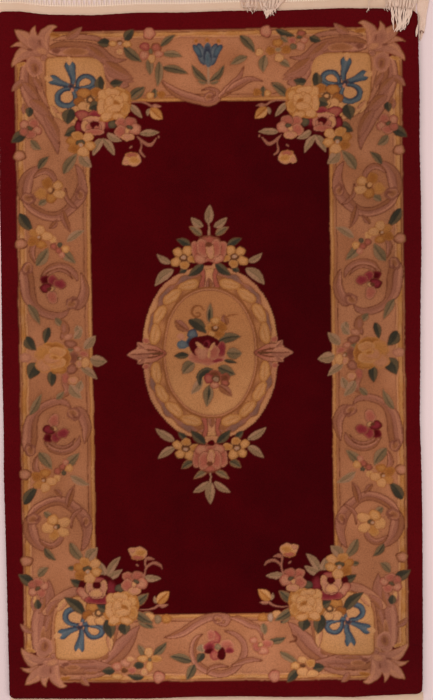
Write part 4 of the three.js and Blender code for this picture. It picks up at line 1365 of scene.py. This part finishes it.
# The bundle at the upper right corner leaves the web's end, curves round and lies on the floor
# along the rug's side; its innermost strands climb on to the edge of the pile
BUNDLE_X = 458.8
BUNDLE_BEND = 5.1    # how much wider each strand's bend is than the last one's
BUNDLE_TAIL = 92.0
runs = []
edge = HALF_LENGTH + strays(END_EDGES, 1.0, 1)
for i in range(5):
    for yarn in range(4):
        radius = BUNDLE_BEND*(i + 0.8) + 1.2*(yarn - 1.5)
        tail = BUNDLE_TAIL - 7*abs(i - 1.4) - 3*yarn
        wave = chance.uniform(0, 6.3)
        turn = np.pi*np.linspace(1, 0, 9)[:-1]
        t = np.linspace(0, 1, 16)
        climb = np.clip(t*3 - 1.5, 0, 1)**2*(1.0 if i == 0 else 0.0)
        x = np.concatenate([radius*np.cos(turn), radius*(1 - 0.42*t) + 1.2*t*np.sin(wave + 8*t)])
        y = np.concatenate([radius*np.sin(turn) - 6*turn/np.pi, -tail*t])
        x[8:] -= 4.5*climb
        z = np.concatenate([np.zeros(8), 13.0*climb]) + 1.0 + 0.6*(yarn % 2)
        thin = np.full(len(x), 1.0)
        runs.append(np.column_stack([BUNDLE_X + x, edge + 26 + y, z, thin, thin]))
bundle = cords("corner_bundle", runs, 5)
bundle.data.materials.append(loose.material)
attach(bundle, "root")
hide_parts("fringe_top")

# A curl of brown wool is caught in the bundle
CURL_X = 468.5
CURL_Y = 704.0
CURL_HEIGHT = 3.3
turn = np.linspace(-0.6, 4.4, 14)
reach = np.linspace(4.0, 2.4, 14)
thin = np.full(14, 0.8)
x = CURL_X + reach*np.cos(turn)
y = CURL_Y + reach*np.sin(turn)
curl = cords("wool_curl", [np.column_stack([x, y, np.full(14, CURL_HEIGHT), thin, thin])], 6)
brown = np.tile((0.22, 0.07, 0.04, 1.0), len(curl.data.vertices))
curl.data.attributes.new("dye", "FLOAT_COLOR", "POINT").data.foreach_set("color", brown)
curl.data.materials.append(wool.material)
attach(curl, "root")

# The floor, the lights and the camera
# The rug lies on a plain pale floor that is wide enough to fill the picture. Three soft lamps shine
# down on it, and the camera looks at it from overhead.
FLOOR_REACH = 6.0
work = bmesh.new()
bmesh.ops.create_grid(work, x_segments=1, y_segments=1, size=FLOOR_REACH)
floor_mesh = bpy.data.meshes.new("floor")
work.to_mesh(floor_mesh)
work.free()
floor = bpy.data.objects.new("floor", floor_mesh)
bpy.context.collection.objects.link(floor)
plaster = Recipe("pale_floor", Roughness=0.8)
tone = plaster.mix(plaster.noise(3.0, 3.0), linear(226, 198, 196), linear(232, 206, 204))
plaster.feed("Base Color", tone)
floor_mesh.materials.append(plaster.material)

for name, spot, size, watts in (("left_light", (-1.9, 1.0, 2.3), 1.6, 34.0),
                                ("right_light", (1.9, -0.6, 2.4), 1.6, 27.0),
                                ("top_light", (0.0, 0.4, 3.4), 2.4, 31.0)):
    lamp = bpy.data.lights.new(name, "AREA")
    lamp.energy = watts
    lamp.size = size
    lamp_object = bpy.data.objects.new(name, lamp)
    lamp_object.location = spot
    lamp_object.rotation_euler = (-Vector(spot)).to_track_quat("-Z", "Y").to_euler()
    bpy.context.collection.objects.link(lamp_object)
world = bpy.data.worlds.new("studio")
world.use_nodes = True
world.node_tree.nodes["Background"].inputs["Color"].default_value = (1.0, 0.97, 0.95, 1.0)
world.node_tree.nodes["Background"].inputs["Strength"].default_value = 0.36
bpy.context.scene.world = world
bpy.context.scene.view_settings.view_transform = "Standard"

lens = bpy.data.cameras.new("overhead")
lens.lens = 58.32
lens.sensor_width = 36.0
camera = bpy.data.objects.new("overhead", lens)
camera.location = (0.0229, 0.0566, 2.5)
camera.rotation_euler = Euler(np.radians((-0.971, 0.285, -0.806)))
bpy.context.collection.objects.link(camera)
bpy.context.scene.camera = camera
